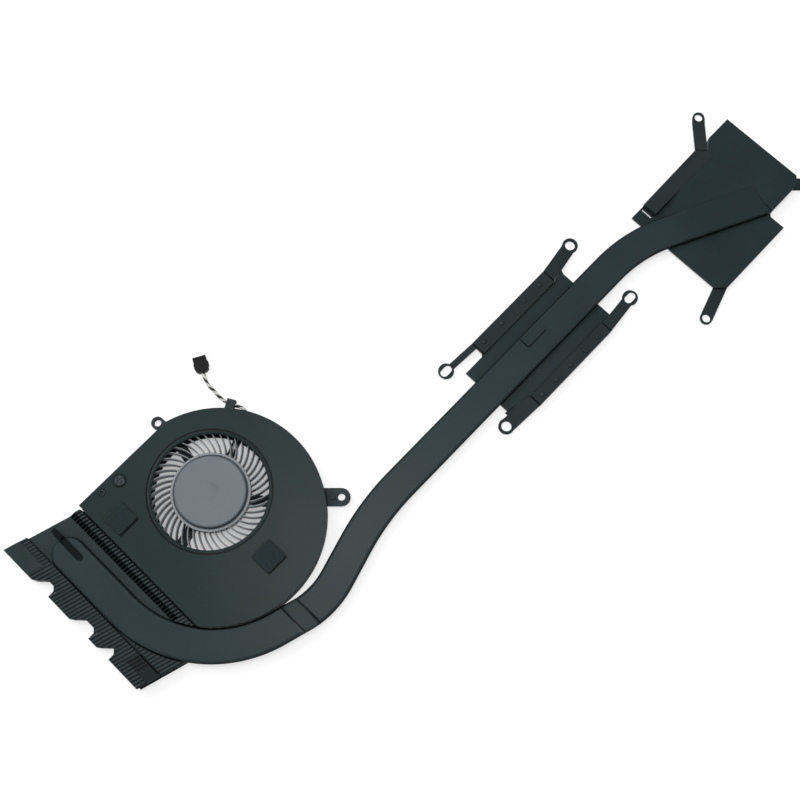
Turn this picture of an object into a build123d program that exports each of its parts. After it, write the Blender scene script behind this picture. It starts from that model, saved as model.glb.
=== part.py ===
from build123d import *
import os
from math import atan2, cos, degrees, hypot, radians, sin, sqrt, tan

# Laptop cooling module: blower, skewed fin stack, one flat heat pipe and two cold plates.
# Millimetres. Origin on the blower's axis at the underside of its base.
# +X runs along the straight of the heat pipe, +Z is up through the blower's cover.

# Fits: a running fit, a seated fit, and how far a cutter reaches past what it cuts
RUN_FIT = 0.03
SEAT_FIT = 0.02
OVERCUT = 1.0

# Flats that stand for a circle: on small bores, on rings and the motor, on the inlets and the hub
BORE_SIDES = 12
RING_SIDES = 20
INLET_SIDES = 56

# Blower case
FAN_HEIGHT = 7.0
COVER_T = 0.5
FLOOR_T = 0.8
WALL_T = 1.0
SCROLL_X = -4.0
SCROLL_Y = -7.2
SCROLL_GAP = 1.86
CUTOFF_GAP = 1.5
OUTLET_GAP = 8.0
OUTLET_LIP_FIT = 0.05
INLET_R = 19.4
LIP_W = 1.3
LIP_DROP = 0.6
BASE_INLET_R = 19.4
MOTOR_PLATE_R = 11.6
SPOKE_W = 3.6
SPOKE_ANGLES = (79.0, 194.0, 306.0)

# Case fixings, placed from the outlet edge, the straight wall and the scroll
SCREW_IN = 14.8
SCREW_DOWN = 3.7
SCREW_HEAD_R = 1.9
SCREW_HEAD_H = 0.6
SCREW_SHANK_R = 0.8
SCREW_SHANK_L = 3.6
SCREW_FREE = 0.3
SCREW_DISH_R = 2.4
SCREW_DISH_D = 0.25
DRIVE_L = 2.4
DRIVE_W = 0.45
DRIVE_D = 0.3
BOSS_R = 2.5
PEG_IN = 8.1
PEG_DOWN = 2.3
PEG_R = 1.1
PEG_BORE_R = 0.55
PEG_FREE = 0.15
LUG_T = 1.6
LUG_HOLE_R = 1.25
LUG_A_X = 4.0
LUG_A_OUT = 3.1
LUG_A_R = 2.2
LUG_B_ANGLE = -36.8
LUG_B_OUT = 5.1
LUG_B_R = 3.0
LUG_B_TURN = -46.0
LUG_B_PEG_BACK = 2.9
LUG_B_PEG_R = 0.95
LUG_B_PEG_H = 0.4
PAD_SIDE = 8.4
PAD_T = 1.0
PAD_A_IN = 6.6
PAD_A_DOWN = 13.2
PAD_B_SIDE = 2.4
PAD_B_UP = 13.9

# Impeller
IMPELLER_R = 25.0
BLADES = 47
BLADE_STEPS = 3
BLADE_SWEEP = 27.0
BLADE_CURL = 1.2
BLADE_ARC = 1.55
BLADE_COVER_GAP = 0.6
BLADE_FLOOR_GAP = 1.1
HUB_R = 12.0
HUB_WALL = 0.7
HUB_SINK = 0.3
HUB_CROWN_T = 0.7
SKIRT_W = 1.3

# Motor
YOKE_T = 0.6
MAGNET_T = 1.15
MAGNET_RISE = 0.46
SHAFT_R = 1.0
THRUST_PAD_T = 0.3
SLEEVE_R = 2.4
HOLDER_R = 3.2
STATOR_GAP = 0.6
STATOR_POLES = 6
STATOR_RING_T = 1.5
POLE_W = 1.6
POLE_TIP_T = 0.8
POLE_TIP_W = 6.2
COIL_WALL = 0.6
COIL_GAP_END = 0.4
COIL_GAP_BELOW = 0.5
COIL_GAP_ABOVE = 0.78
BOARD_T = 0.6
BOARD_MARGIN = 1.0

# Lead and plug
LEAD_D = 1.2
LEAD_Z = 0.9
LEAD_TURN = 21.4
LEAD_CORNER_R = 31.3
LEAD_POINTS = ((24.7, 19.5), (25.2, 29.6), (26.9, 32.6))
LEAD_RADII = (3.0, 5.0, 5.0)
LEAD_SIDES = 6
LEAD_SPOKE_W = 2.6
LEAD_FIT = 0.2
HOOK_ALONG = 0.78
HOOK_L = 3.0
HOOK_WALL = 0.8
HOOK_FOOT = 3.2
PLUG_L = 5.8
PLUG_W = 4.6
PLUG_H = 2.2
PLUG_CORNER = 0.9
PLUG_RIB_L = 2.0
PLUG_RIB_T = 0.3
PLUG_WAYS = 4
PLUG_PITCH = 1.1
CAVITY_W = 0.7
CAVITY_H = 1.2
CAVITY_D = 3.0
CONTACT_W = 0.46
CONTACT_T = 0.4
CONTACT_IN = 0.3

# Fin stack, placed from the outlet edge and the straight wall
FINS = 50
FIN_PITCH = 1.27
FIN_T = 0.25
FIN_GAP = 0.7
FIN_DEPTH = 26.15
FIN_SKEW = 16.7
FIN_FIRST_IN = 0.84
FIN_LOW_H = 3.6
FIN_STRIP_W = 7.85
FIN_STRIP_RISE = 0.2
FIN_COMB_W = 4.0
FIN_COMB_RAMP = 2.3
FIN_COMB_FLANGE_W = 0.85
FIN_FLANGE_W = 1.2
FIN_BEND_IN = 10.0
FIN_GROOVE_W = 0.7
FIRST_TAB_FINS = 9
FIRST_TAB_W = 5.5
LAST_TAB_FINS = 4
LAST_TAB_W = 4.2
FIN_PIPE_FIT = 0.2
NOTCH_DEPTH = 3.5
NOTCH_LEAN = 3.2
NOTCH_CORNER = 1.2
NOTCH_STARTS = (13.2, 31.2, 44.1)
NOTCH_LENGTHS = (8.4, 9.5, 6.1)

# Heat pipe, placed from the fins' trough and the scroll's lowest edge
PIPE_W = 11.4
PIPE_T = 2.2
PIPE_EDGE = 0.65
PIPE_SIDE_FIT = 0.2
PIPE_END_IN = 16.0
PIPE_BEND_UP = 10.4
PIPE_DIP_SIDE = 4.4
PIPE_DIP_DOWN = 3.2
PIPE_RISE_X = 33.0
PIPE_RUN_UP = 5.95
PIPE_FAR_BEND_X = 163.5
PIPE_FAR_L = 43.5
PIPE_FAR_TURN = 26.3
PIPE_RADII = (42.3, 30.0, 90.0, 55.0)
JOGGLE_X1 = -10.4
JOGGLE_X2 = -5.0
CRIMP_SIDE = 1.7
CRIMP_TAIL_L = 4.2
CRIMP_TAIL_ROOT_W = 2.2
CRIMP_TAIL_TIP_W = 1.5
CRIMP_TAIL_T = 1.0
DENT_L = 10.4
DENT_W = 2.4
DENT_D = 0.6
PIPE_PAD_X = -6.4
PIPE_PAD_L = 9.2
PIPE_PAD_W = 4.3
PIPE_PAD_T = 0.35

# Middle cold plate, placed from its own centre and the pipe's straight run
SLUG_T = 1.2
PLATE_T = 1.2
MID_X = 116.0
MID_LEFT = 27.2
MID_RIGHT = 22.6
MID_UP = 10.45
MID_CORNER = 1.0
MID_TIP = 1.4
RAIL_L = 36.4
RAIL_T = 0.8
RAIL_A_UP = 16.05
RAIL_A_W = 5.4
RAIL_B_DOWN = 15.45
RAIL_B_W = 4.5
RING_Z = 0.5
RING_R = 2.75
SCREW_HOLE_R = 1.75
SLOT_L = 4.6
SLOT_W = 2.8
HOLES_X = 0.75
HOLES_Y = 2.05
HOLES_SPAN_X = 63.7
HOLES_SPAN_Y = 28.0
ARM_A0_ROOT = 2.3
ARM_A0_W = 2.2
ARM_A1_ROOT = 5.1
ARM_A1_W = 4.7
ARM_B0_ROOT = 5.0
ARM_B0_W = 5.2
SHOULDER_UP = 7.0
SHOULDER_OUT = 0.8
ARM_B1_ROOT = 4.1
ARM_B1_W = 3.9
ARM_FIT = 0.05
SCORE_W = 0.4
SCORE_D = 0.25
RIVET_R = 0.7
RIVET_HEAD_R = 1.05
RIVET_HEAD_H = 0.3
RIVET_SIDES = 6
RIVETS_A_IN = 2.35
RIVETS_A = (-14.8, -5.7, 5.8, 13.7)
RIVETS_B_IN = 2.0
RIVETS_B = (-14.9, -7.7, -0.5, 6.9, 13.6)
MID_SLUG_X = -2.5
MID_SLUG_L = 26.0
MID_SLUG_W = 18.0

# Far cold plate, placed from the pipe's far bend and its straight run
FAR_IN = 7.8
FAR_L = 51.5
FAR_UP = 7.05
FAR_W = 41.1
FAR_CUT_L = 17.4
FAR_CUT_W = 6.9
FAR_CUT_R = 1.0
FAR_CORNER = 2.4
FAR_NEAR_CORNER = 3.2
LAND_LEAF_IN = 19.2
LAND_PIPE_IN = 12.2
LAND_RAMP = 6.0
FAR_SLUG_IN = 22.7
FAR_SLUG_DOWN = 21.5
FAR_SLUG_L = 22.0
FAR_SLUG_W = 16.0
LEAF_T = 0.8
LEAF_IN = 5.7
LEAF_W = 5.4
FOLD_IN = 35.7
FOLD_DOWN = 1.2
NOTCH_SIDE = 1.5
NOTCH_DOWN = 1.9
NOTCH_HALF = 4.0
ARM_W = 4.4
KNEE_GAP = 0.4
FAR_RING_R = 2.15
FAR_HOLE_R = 1.45
ARM_A_L = 14.6
ARM_A_TURN = 41.0
ARM_B_IN = 2.7
ARM_B_UP = 2.1
ARM_B_L = 13.4
ARM_B_TURN = 197.4
ARM_C_IN = 3.2
ARM_C_UP = 3.2
ARM_C_L = 15.1
ARM_C_TURN = -45.8
RELIEF_BACK = 1.4
RELIEF_W = 0.9
RELIEF_EDGE = 0.6

# Blower sizes that follow from the ones above
COVER_Z = FAN_HEIGHT - COVER_T
SCROLL_R = IMPELLER_R + SCROLL_GAP + hypot(SCROLL_X, SCROLL_Y) + WALL_T
SCROLL_LOW_Y = SCROLL_Y - SCROLL_R
STRAIGHT_WALL_Y = IMPELLER_R + CUTOFF_GAP + WALL_T
OUTLET_X = -(IMPELLER_R + OUTLET_GAP)
SCREW_X = OUTLET_X + SCREW_IN
SCREW_Y = STRAIGHT_WALL_Y - SCREW_DOWN
PEG_X = OUTLET_X + PEG_IN
PEG_Y = STRAIGHT_WALL_Y - PEG_DOWN
LUG_A_Y = STRAIGHT_WALL_Y + LUG_A_OUT
LUG_TOP = FLOOR_T + LUG_T
LUG_B_X = SCROLL_X + (SCROLL_R + LUG_B_OUT) * cos(radians(LUG_B_ANGLE))
LUG_B_Y = SCROLL_Y + (SCROLL_R + LUG_B_OUT) * sin(radians(LUG_B_ANGLE))
BLADE_TOP = COVER_Z - LIP_DROP - BLADE_COVER_GAP
BLADE_BOTTOM = FLOOR_T + BLADE_FLOOR_GAP
SKIRT_R = HUB_R + SKIRT_W
HUB_TOP = FAN_HEIGHT - HUB_SINK
HUB_INNER_R = HUB_R - HUB_WALL
YOKE_R = HUB_INNER_R - SEAT_FIT
YOKE_TOP = HUB_TOP - HUB_CROWN_T - SEAT_FIT
MAGNET_R = YOKE_R - YOKE_T - SEAT_FIT
MAGNET_INNER_R = MAGNET_R - MAGNET_T
SHAFT_BOTTOM = FLOOR_T + THRUST_PAD_T + SEAT_FIT
STATOR_R = MAGNET_INNER_R - STATOR_GAP
STATOR_RING_R = HOLDER_R + STATOR_RING_T
STATOR_BOTTOM = FLOOR_T + BOARD_T + COIL_GAP_BELOW + COIL_WALL
STATOR_TOP = YOKE_TOP - YOKE_T - COIL_GAP_ABOVE - COIL_WALL
HOLDER_TOP = STATOR_TOP + COIL_WALL
BOARD_R = MOTOR_PLATE_R - BOARD_MARGIN
GROOVE_W = LEAD_D + 2 * LEAD_FIT
GROOVE_Z = LEAD_Z - LEAD_D / 2
GROOVE_TOP = LEAD_Z + LEAD_D / 2 + LEAD_FIT

# Fin, pipe and plate sizes that follow
FIN_INNER_X = OUTLET_X - FIN_GAP
FIN_OUTER_X = FIN_INNER_X - FIN_DEPTH
FIN_COMB_X = FIN_INNER_X - FIN_COMB_W
FIN_STEP_X = FIN_OUTER_X + FIN_STRIP_W
FIN_SLOPE = -tan(radians(FIN_SKEW))
FIN_FIRST_Y = STRAIGHT_WALL_Y - FIN_FIRST_IN - FIN_SLOPE * FIN_DEPTH
FIN_COMB_TOP = FIN_LOW_H + PIPE_T
FIN_STRIP_TOP = FIN_COMB_TOP + FIN_STRIP_RISE
PIPE_LOW = SLUG_T + PLATE_T
PIPE_TOP_LOW = PIPE_LOW + PIPE_T
PIPE_TOP_HIGH = FIN_LOW_H + PIPE_T
PIPE_FIN_X = FIN_STEP_X + PIPE_SIDE_FIT + PIPE_W / 2
PIPE_END_Y = FIN_FIRST_Y - PIPE_END_IN
PIPE_NEAR_Y = SCROLL_LOW_Y - PIPE_W / 2
PIPE_RUN_Y = PIPE_NEAR_Y + PIPE_RUN_UP
PIPE_FAR_SLOPE = -tan(radians(PIPE_FAR_TURN))
RAIL_X0 = MID_X - RAIL_L / 2
RAIL_X1 = MID_X + RAIL_L / 2
RAIL_A_Y = PIPE_RUN_Y + RAIL_A_UP
RAIL_B_Y = PIPE_RUN_Y - RAIL_B_DOWN
HOLES_X0 = MID_X + HOLES_X - HOLES_SPAN_X / 2
HOLES_X1 = MID_X + HOLES_X + HOLES_SPAN_X / 2
HOLES_Y0 = PIPE_RUN_Y + HOLES_Y + HOLES_SPAN_Y / 2
HOLES_Y1 = PIPE_RUN_Y + HOLES_Y - HOLES_SPAN_Y / 2
FAR_X0 = PIPE_FAR_BEND_X + FAR_IN
FAR_X1 = FAR_X0 + FAR_L
FAR_Y0 = PIPE_RUN_Y + FAR_UP
FAR_Y1 = FAR_Y0 - FAR_W
FAR_CUT_X = FAR_X1 - FAR_CUT_L
FAR_CUT_Y = FAR_Y1 + FAR_CUT_W
LEAF_X0 = FAR_X0 + LEAF_IN
LEAF_Y = FAR_Y0 - LEAF_W
LEAF_Z = PIPE_TOP_LOW - LEAF_T
FOLD_X = FAR_X0 + FOLD_IN
FOLD_Y = FAR_Y0 - FOLD_DOWN
NOTCH_X = FOLD_X + NOTCH_SIDE
NOTCH_Y = FOLD_Y - NOTCH_DOWN


def block(x0, x1, y0, y1, z0, z1):
    centre = ((x0 + x1) / 2, (y0 + y1) / 2, (z0 + z1) / 2)
    return Pos(*centre) * Box(abs(x1 - x0), abs(y1 - y0), abs(z1 - z0))


def rod(x, y, r, z0, z1):
    return Pos(x, y, (z0 + z1) / 2) * Cylinder(r, z1 - z0)


def prism(x, y, r, sides, z0, z1):
    """An upright bar whose flats stand for a circle."""
    return raise_plan(Pos(x, y) * RegularPolygon(r, sides), z0, z1)


def drum(r, z0, z1):
    return prism(0, 0, r, RING_SIDES, z0, z1)


def tube(r_out, r_in, z0, z1):
    return drum(r_out, z0, z1) - drum(r_in, z0 - OVERCUT, z1 + OVERCUT)


def raise_plan(plan, z0, z1):
    """A flat outline pushed up from z0 to z1."""
    return Pos(0, 0, z0) * extrude(plan, amount=z1 - z0, dir=(0, 0, 1))


def slab(points, z0, z1):
    return raise_plan(make_face(Polyline(*points, close=True)), z0, z1)


def slot_plan(length, width):
    reach = (length - width) / 2
    end = RegularPolygon(width / 2, BORE_SIDES)
    return Rectangle(2 * reach, width) + Pos(reach, 0) * end + Pos(-reach, 0) * end


def polar(r, angle):
    return (r * cos(radians(angle)), r * sin(radians(angle)))


def bearing(a, b):
    """Direction in plan from point a to point b, in degrees."""
    return degrees(atan2(b[1] - a[1], b[0] - a[0]))


def beam(a, b, width, z0, z1):
    """A straight bar in plan from point a to point b."""
    length = hypot(b[0] - a[0], b[1] - a[1])
    middle = Pos((a[0] + b[0]) / 2, (a[1] + b[1]) / 2, (z0 + z1) / 2)
    return middle * Rot(0, 0, bearing(a, b)) * Box(length, width, z1 - z0)


def scroll_plan(inset, mouth_x):
    """The blower's outline: an eccentric circle squared off to the outlet."""
    r = SCROLL_R - inset
    round_part = Pos(SCROLL_X, SCROLL_Y) * Circle(r)
    top = STRAIGHT_WALL_Y - inset
    low = SCROLL_Y - sqrt(r**2 - (OUTLET_X - SCROLL_X) ** 2)
    middle = Pos((mouth_x + SCROLL_X) / 2, (top + low) / 2)
    throat = middle * Rectangle(SCROLL_X - mouth_x, top - low)
    reach = 2 * SCROLL_R
    window = Pos(mouth_x + reach, top - reach) * Rectangle(2 * reach, 2 * reach)
    return (round_part + throat) & window


def scroll_core():
    """The room inside the middle of the scroll wall, to trim what joins the wall from outside."""
    return raise_plan(scroll_plan(WALL_T / 2, OUTLET_X), -OVERCUT, FAN_HEIGHT)


def lead_corners():
    start = polar(BOARD_R + LEAD_D / 2, LEAD_TURN)
    corner = polar(LEAD_CORNER_R, LEAD_TURN)
    return [start, corner] + list(LEAD_POINTS)


def lead_run(share):
    """The point that share of the way along the lead's first run outside the wall."""
    a, b = lead_corners()[1:3]
    return (a[0] + (b[0] - a[0]) * share, a[1] + (b[1] - a[1]) * share)


def hook_place():
    x, y = lead_run(HOOK_ALONG)
    return Pos(x, y, 0) * Rot(0, 0, bearing(lead_run(0), lead_run(1)))


def spoke(angle, width):
    inner = polar(MOTOR_PLATE_R - OVERCUT, angle)
    outer = polar(BASE_INLET_R + OVERCUT, angle)
    return beam(inner, outer, width, 0, FLOOR_T)


def lug_a():
    lug = prism(LUG_A_X, LUG_A_Y, LUG_A_R, RING_SIDES, FLOOR_T, LUG_TOP)
    foot = STRAIGHT_WALL_Y - WALL_T / 2
    return lug + block(LUG_A_X, LUG_A_X + LUG_A_R, foot, LUG_A_Y, FLOOR_T, LUG_TOP)


def lug_b():
    """Tab on the scroll with a locating peg behind its hole."""
    back = LUG_B_PEG_BACK + LUG_B_R
    lug = prism(0, 0, LUG_B_R, RING_SIDES, FLOOR_T, LUG_TOP)
    lug += block(-back, 0, -LUG_B_R, LUG_B_R, FLOOR_T, LUG_TOP)
    lug += prism(-LUG_B_PEG_BACK, 0, LUG_B_PEG_R, BORE_SIDES, FLOOR_T, LUG_TOP + LUG_B_PEG_H)
    return Pos(LUG_B_X, LUG_B_Y, 0) * Rot(0, 0, LUG_B_TURN) * lug - scroll_core()


def lead_hook():
    """Block on the wall outside, grooved for the lead."""
    reach = LEAD_D / 2 + HOOK_WALL + LEAD_FIT
    hook = block(-HOOK_L / 2, HOOK_L / 2, -reach, reach + HOOK_FOOT, 0, LEAD_Z + reach)
    return hook_place() * hook - scroll_core()


def lead_groove():
    """Channel along the lead's spoke, out through the wall and along the hook."""
    inner = polar(MOTOR_PLATE_R - 2 * OVERCUT, LEAD_TURN)
    outer = polar(LEAD_CORNER_R + LEAD_D, LEAD_TURN)
    groove = beam(inner, outer, GROOVE_W, GROOVE_Z, GROOVE_TOP)
    groove += beam(lead_run(0), lead_run(HOOK_ALONG / 2), 2 * GROOVE_W, GROOVE_Z, GROOVE_TOP)
    side = GROOVE_W / 2
    groove += hook_place() * block(-2 * HOOK_L, HOOK_L, -side, side, GROOVE_Z, GROOVE_TOP)
    return groove


def fan_base():
    # The floor runs on as a lip to the fins
    base = raise_plan(scroll_plan(0, FIN_INNER_X + OUTLET_LIP_FIT), 0, FLOOR_T)
    inlet = RegularPolygon(BASE_INLET_R, INLET_SIDES) - RegularPolygon(MOTOR_PLATE_R, RING_SIDES)
    base -= raise_plan(inlet, -OVERCUT, FLOOR_T + OVERCUT)
    for angle in SPOKE_ANGLES:
        base += spoke(angle, SPOKE_W)
    base += spoke(LEAD_TURN, LEAD_SPOKE_W)
    ring = scroll_plan(0, OUTLET_X) - scroll_plan(WALL_T, OUTLET_X - 2 * WALL_T)
    base += raise_plan(ring, FLOOR_T, COVER_Z)
    base += prism(SCREW_X, SCREW_Y, BOSS_R, BORE_SIDES, 0, COVER_Z)
    base -= prism(SCREW_X, SCREW_Y, SCREW_SHANK_R + SEAT_FIT, BORE_SIDES, FLOOR_T, FAN_HEIGHT)
    base += prism(PEG_X, PEG_Y, PEG_R, BORE_SIDES, 0, FAN_HEIGHT - SEAT_FIT)
    base -= prism(PEG_X, PEG_Y, PEG_BORE_R, BORE_SIDES, COVER_Z, FAN_HEIGHT)
    base += lug_a()
    base -= rod(LUG_A_X, LUG_A_Y, LUG_HOLE_R, 0, FAN_HEIGHT)
    base += lug_b()
    base -= rod(LUG_B_X, LUG_B_Y, LUG_HOLE_R, 0, FAN_HEIGHT)
    base += lead_hook()
    base -= lead_groove()
    return base


def inlet_dish(z):
    """The shallow cone that the cover's inlet rim is pressed to, with its wide end at z."""
    low = Pos(0, 0, z - LIP_DROP) * RegularPolygon(INLET_R, INLET_SIDES)
    high = Pos(0, 0, z) * RegularPolygon(INLET_R + LIP_W, INLET_SIDES)
    return loft([low, high], ruled=True)


def fan_cover():
    sheet = raise_plan(scroll_plan(0, OUTLET_X), COVER_Z, FAN_HEIGHT)
    sheet += inlet_dish(COVER_Z)
    sheet -= inlet_dish(FAN_HEIGHT)
    sheet -= prism(0, 0, INLET_R, INLET_SIDES, 0, FAN_HEIGHT)
    sheet -= prism(SCREW_X, SCREW_Y, SCREW_SHANK_R + SCREW_FREE, BORE_SIDES, 0, FAN_HEIGHT)
    dish = FAN_HEIGHT - SCREW_DISH_D
    sheet -= prism(SCREW_X, SCREW_Y, SCREW_DISH_R, RING_SIDES, dish, FAN_HEIGHT + OVERCUT)
    sheet -= prism(PEG_X, PEG_Y, PEG_R + PEG_FREE, BORE_SIDES, 0, FAN_HEIGHT + OVERCUT)
    return sheet


def cover_screw():
    seat = FAN_HEIGHT - SCREW_DISH_D
    screw = prism(SCREW_X, SCREW_Y, SCREW_HEAD_R, RING_SIDES, seat, seat + SCREW_HEAD_H)
    screw += prism(SCREW_X, SCREW_Y, SCREW_SHANK_R, BORE_SIDES, seat - SCREW_SHANK_L, seat)
    cross = Box(DRIVE_L, DRIVE_W, 2 * DRIVE_D) + Box(DRIVE_W, DRIVE_L, 2 * DRIVE_D)
    return screw - Pos(SCREW_X, SCREW_Y, seat + SCREW_HEAD_H) * cross


def cover_pads():
    pad = Box(PAD_SIDE, PAD_SIDE, PAD_T)
    mid = FAN_HEIGHT + PAD_T / 2
    first = Pos(OUTLET_X + PAD_A_IN, STRAIGHT_WALL_Y - PAD_A_DOWN, mid) * pad
    second = Pos(SCROLL_X + PAD_B_SIDE, SCROLL_LOW_Y + PAD_B_UP, mid) * pad
    return [first, second]


def blade_plan():
    """One backward-swept blade, turning further back the further out it goes."""
    root = SKIRT_R - HUB_WALL
    leading, trailing = [], []
    for i in range(BLADE_STEPS + 1):
        out = i / BLADE_STEPS
        r = root + (IMPELLER_R - root) * out
        turn = BLADE_SWEEP * out**BLADE_CURL
        leading.append(polar(r, turn))
        trailing.append(polar(r, turn + BLADE_ARC))
    return make_face(Polyline(*leading, *reversed(trailing), close=True))


def impeller():
    # One flat of the skirt between each two blades
    skirt = Rot(0, 0, 1.5 * BLADE_ARC) * RegularPolygon(SKIRT_R, BLADES)
    wheel = skirt - RegularPolygon(HUB_INNER_R, RING_SIDES)
    wheel += [Rot(0, 0, 360 * i / BLADES) * blade_plan() for i in range(BLADES)]
    body = raise_plan(wheel, BLADE_BOTTOM, BLADE_TOP)
    cap = prism(0, 0, HUB_R, INLET_SIDES, BLADE_TOP - SKIRT_W, HUB_TOP)
    cap -= drum(HUB_INNER_R, 0, HUB_TOP - HUB_CROWN_T)
    return body + cap


def rotor_yoke():
    cup = drum(YOKE_R, BLADE_BOTTOM, YOKE_TOP)
    cup -= drum(YOKE_R - YOKE_T, 0, YOKE_TOP - YOKE_T)
    return cup - rod(0, 0, SHAFT_R + SEAT_FIT, 0, FAN_HEIGHT)


def magnet_ring():
    top = YOKE_TOP - YOKE_T - SEAT_FIT
    return tube(MAGNET_R, MAGNET_INNER_R, BLADE_BOTTOM + MAGNET_RISE, top)


def shaft():
    return rod(0, 0, SHAFT_R, SHAFT_BOTTOM, YOKE_TOP)


def thrust_pad():
    return drum(SLEEVE_R, FLOOR_T, FLOOR_T + THRUST_PAD_T)


def bearing_sleeve():
    sleeve = drum(SLEEVE_R, SHAFT_BOTTOM, HOLDER_TOP)
    return sleeve - rod(0, 0, SHAFT_R + RUN_FIT, 0, FAN_HEIGHT)


def bearing_holder():
    return tube(HOLDER_R, SLEEVE_R + SEAT_FIT, FLOOR_T, HOLDER_TOP)


def stator_core():
    """Ring with poles whose shoes are trimmed to one circle inside the magnet."""
    plan = Sketch() + RegularPolygon(STATOR_RING_R, RING_SIDES)
    for i in range(STATOR_POLES):
        turn = Rot(0, 0, 360 * i / STATOR_POLES)
        plan += turn * (Pos(STATOR_R / 2, 0) * Rectangle(STATOR_R, POLE_W))
        plan += turn * (Pos(STATOR_R - POLE_TIP_T / 2, 0) * Rectangle(POLE_TIP_T, POLE_TIP_W))
    plan = plan & RegularPolygon(STATOR_R, RING_SIDES)
    plan -= RegularPolygon(HOLDER_R + SEAT_FIT, RING_SIDES)
    return raise_plan(plan, STATOR_BOTTOM, STATOR_TOP)


def stator_coils():
    inner = STATOR_RING_R + COIL_GAP_END
    outer = STATOR_R - POLE_TIP_T - COIL_GAP_END
    high = STATOR_TOP - STATOR_BOTTOM
    coil = Box(outer - inner, POLE_W + 2 * COIL_WALL, high + 2 * COIL_WALL)
    coil -= Box(outer, POLE_W + 2 * SEAT_FIT, high + 2 * SEAT_FIT)
    coil = Pos((inner + outer) / 2, 0, (STATOR_BOTTOM + STATOR_TOP) / 2) * coil
    return [Rot(0, 0, 360 * i / STATOR_POLES) * coil for i in range(STATOR_POLES)]


def motor_board():
    return tube(BOARD_R, HOLDER_R + SEAT_FIT, FLOOR_T, FLOOR_T + BOARD_T)


def fan_lead():
    corners = [(x, y, LEAD_Z) for x, y in lead_corners()]
    path = FilletPolyline(*corners, radius=list(LEAD_RADII))
    section = Plane(origin=path @ 0, z_dir=path % 0) * RegularPolygon(LEAD_D / 2, LEAD_SIDES)
    print("lead length", round(path.length, 2), "corner radii", LEAD_RADII)
    return sweep(section, path=path)


def plug_place():
    a, b = LEAD_POINTS[-2], LEAD_POINTS[-1]
    return Pos(b[0], b[1], 0) * Rot(0, 0, bearing(a, b))


def plug_ways():
    return [(i - (PLUG_WAYS - 1) / 2) * PLUG_PITCH for i in range(PLUG_WAYS)]


def plug_housing():
    body = block(SEAT_FIT, PLUG_L, -PLUG_W / 2, PLUG_W / 2, 0, PLUG_H)
    body = chamfer(body.edges().filter_by(Axis.Z).sort_by(Axis.X)[:2], PLUG_CORNER)
    ribs = PLUG_W + 2 * PLUG_RIB_T
    body += Pos(PLUG_L / 2, 0, PLUG_H / 4) * Box(PLUG_RIB_L, ribs, PLUG_H / 2)
    low = (PLUG_H - CAVITY_H) / 2
    half = CAVITY_W / 2
    for y in plug_ways():
        body -= block(PLUG_L - CAVITY_D, PLUG_L + OVERCUT, y - half, y + half, low, low + CAVITY_H)
    return plug_place() * body


def plug_contacts():
    low = (PLUG_H - CAVITY_H) / 2
    half = CONTACT_W / 2
    contacts = []
    for y in plug_ways():
        strip = block(PLUG_L - CAVITY_D, PLUG_L - CONTACT_IN, y - half, y + half, low, low + CONTACT_T)
        contacts.append(plug_place() * strip)
    return contacts


def pipe_corners():
    far_x = PIPE_FAR_BEND_X + PIPE_FAR_L
    return [
        (PIPE_FIN_X, PIPE_END_Y),
        (PIPE_FIN_X, PIPE_NEAR_Y + PIPE_BEND_UP),
        (SCROLL_X + PIPE_DIP_SIDE, PIPE_NEAR_Y - PIPE_DIP_DOWN),
        (PIPE_RISE_X, PIPE_RUN_Y),
        (PIPE_FAR_BEND_X, PIPE_RUN_Y),
        (far_x, PIPE_RUN_Y + PIPE_FAR_SLOPE * PIPE_FAR_L),
    ]


def on_slope(x):
    """The point at x on the straight between the first bend and the dip."""
    a, b = pipe_corners()[1:3]
    return (x, a[1] + (b[1] - a[1]) * (x - a[0]) / (b[0] - a[0]))


def pipe_section():
    """The flattened pipe's section, each rounded side as three flats."""
    return chamfer(Rectangle(PIPE_W, PIPE_T).vertices(), PIPE_EDGE)


def along_pipe(section, corners, radii, z):
    """A section swept along straight runs and arcs at one height."""
    points = [(x, y, z) for x, y in corners]
    path = FilletPolyline(*points, radius=list(radii))
    start = Plane(origin=path @ 0, x_dir=Vector(0, 0, 1).cross(path % 0), z_dir=path % 0)
    return sweep(start * section, path=path)


def upper_run(section, z):
    """The run in the fins' trough and round the blower, past the joggle."""
    corners = pipe_corners()[:2] + [on_slope(JOGGLE_X2)]
    return along_pipe(section, corners, PIPE_RADII[:1], z)


def lower_run(section, z):
    """The run from before the joggle to the far plate."""
    corners = [on_slope(2 * JOGGLE_X1 - JOGGLE_X2)] + pipe_corners()[2:]
    return along_pipe(section, corners, PIPE_RADII[1:], z)


def round_end(x, y, z):
    """Half a pancake that closes the pipe's end in the fins."""
    window = Pos(PIPE_W / 4, 0) * Rectangle(PIPE_W / 2, PIPE_T)
    cap = revolve(Plane.XZ * (pipe_section() & window), axis=Axis.Z, revolution_arc=180)
    return Pos(x, y, z) * cap


def crimp_tail(tip, z):
    root, end = CRIMP_TAIL_ROOT_W / 2, CRIMP_TAIL_TIP_W / 2
    x = PIPE_FIN_X + CRIMP_SIDE
    start = tip - CRIMP_TAIL_L / 2
    points = [
        (x - root, start),
        (x + root, start),
        (x + end, tip + CRIMP_TAIL_L),
        (x - end, tip + CRIMP_TAIL_L),
    ]
    return slab(points, z - CRIMP_TAIL_T / 2, z + CRIMP_TAIL_T / 2)


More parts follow.
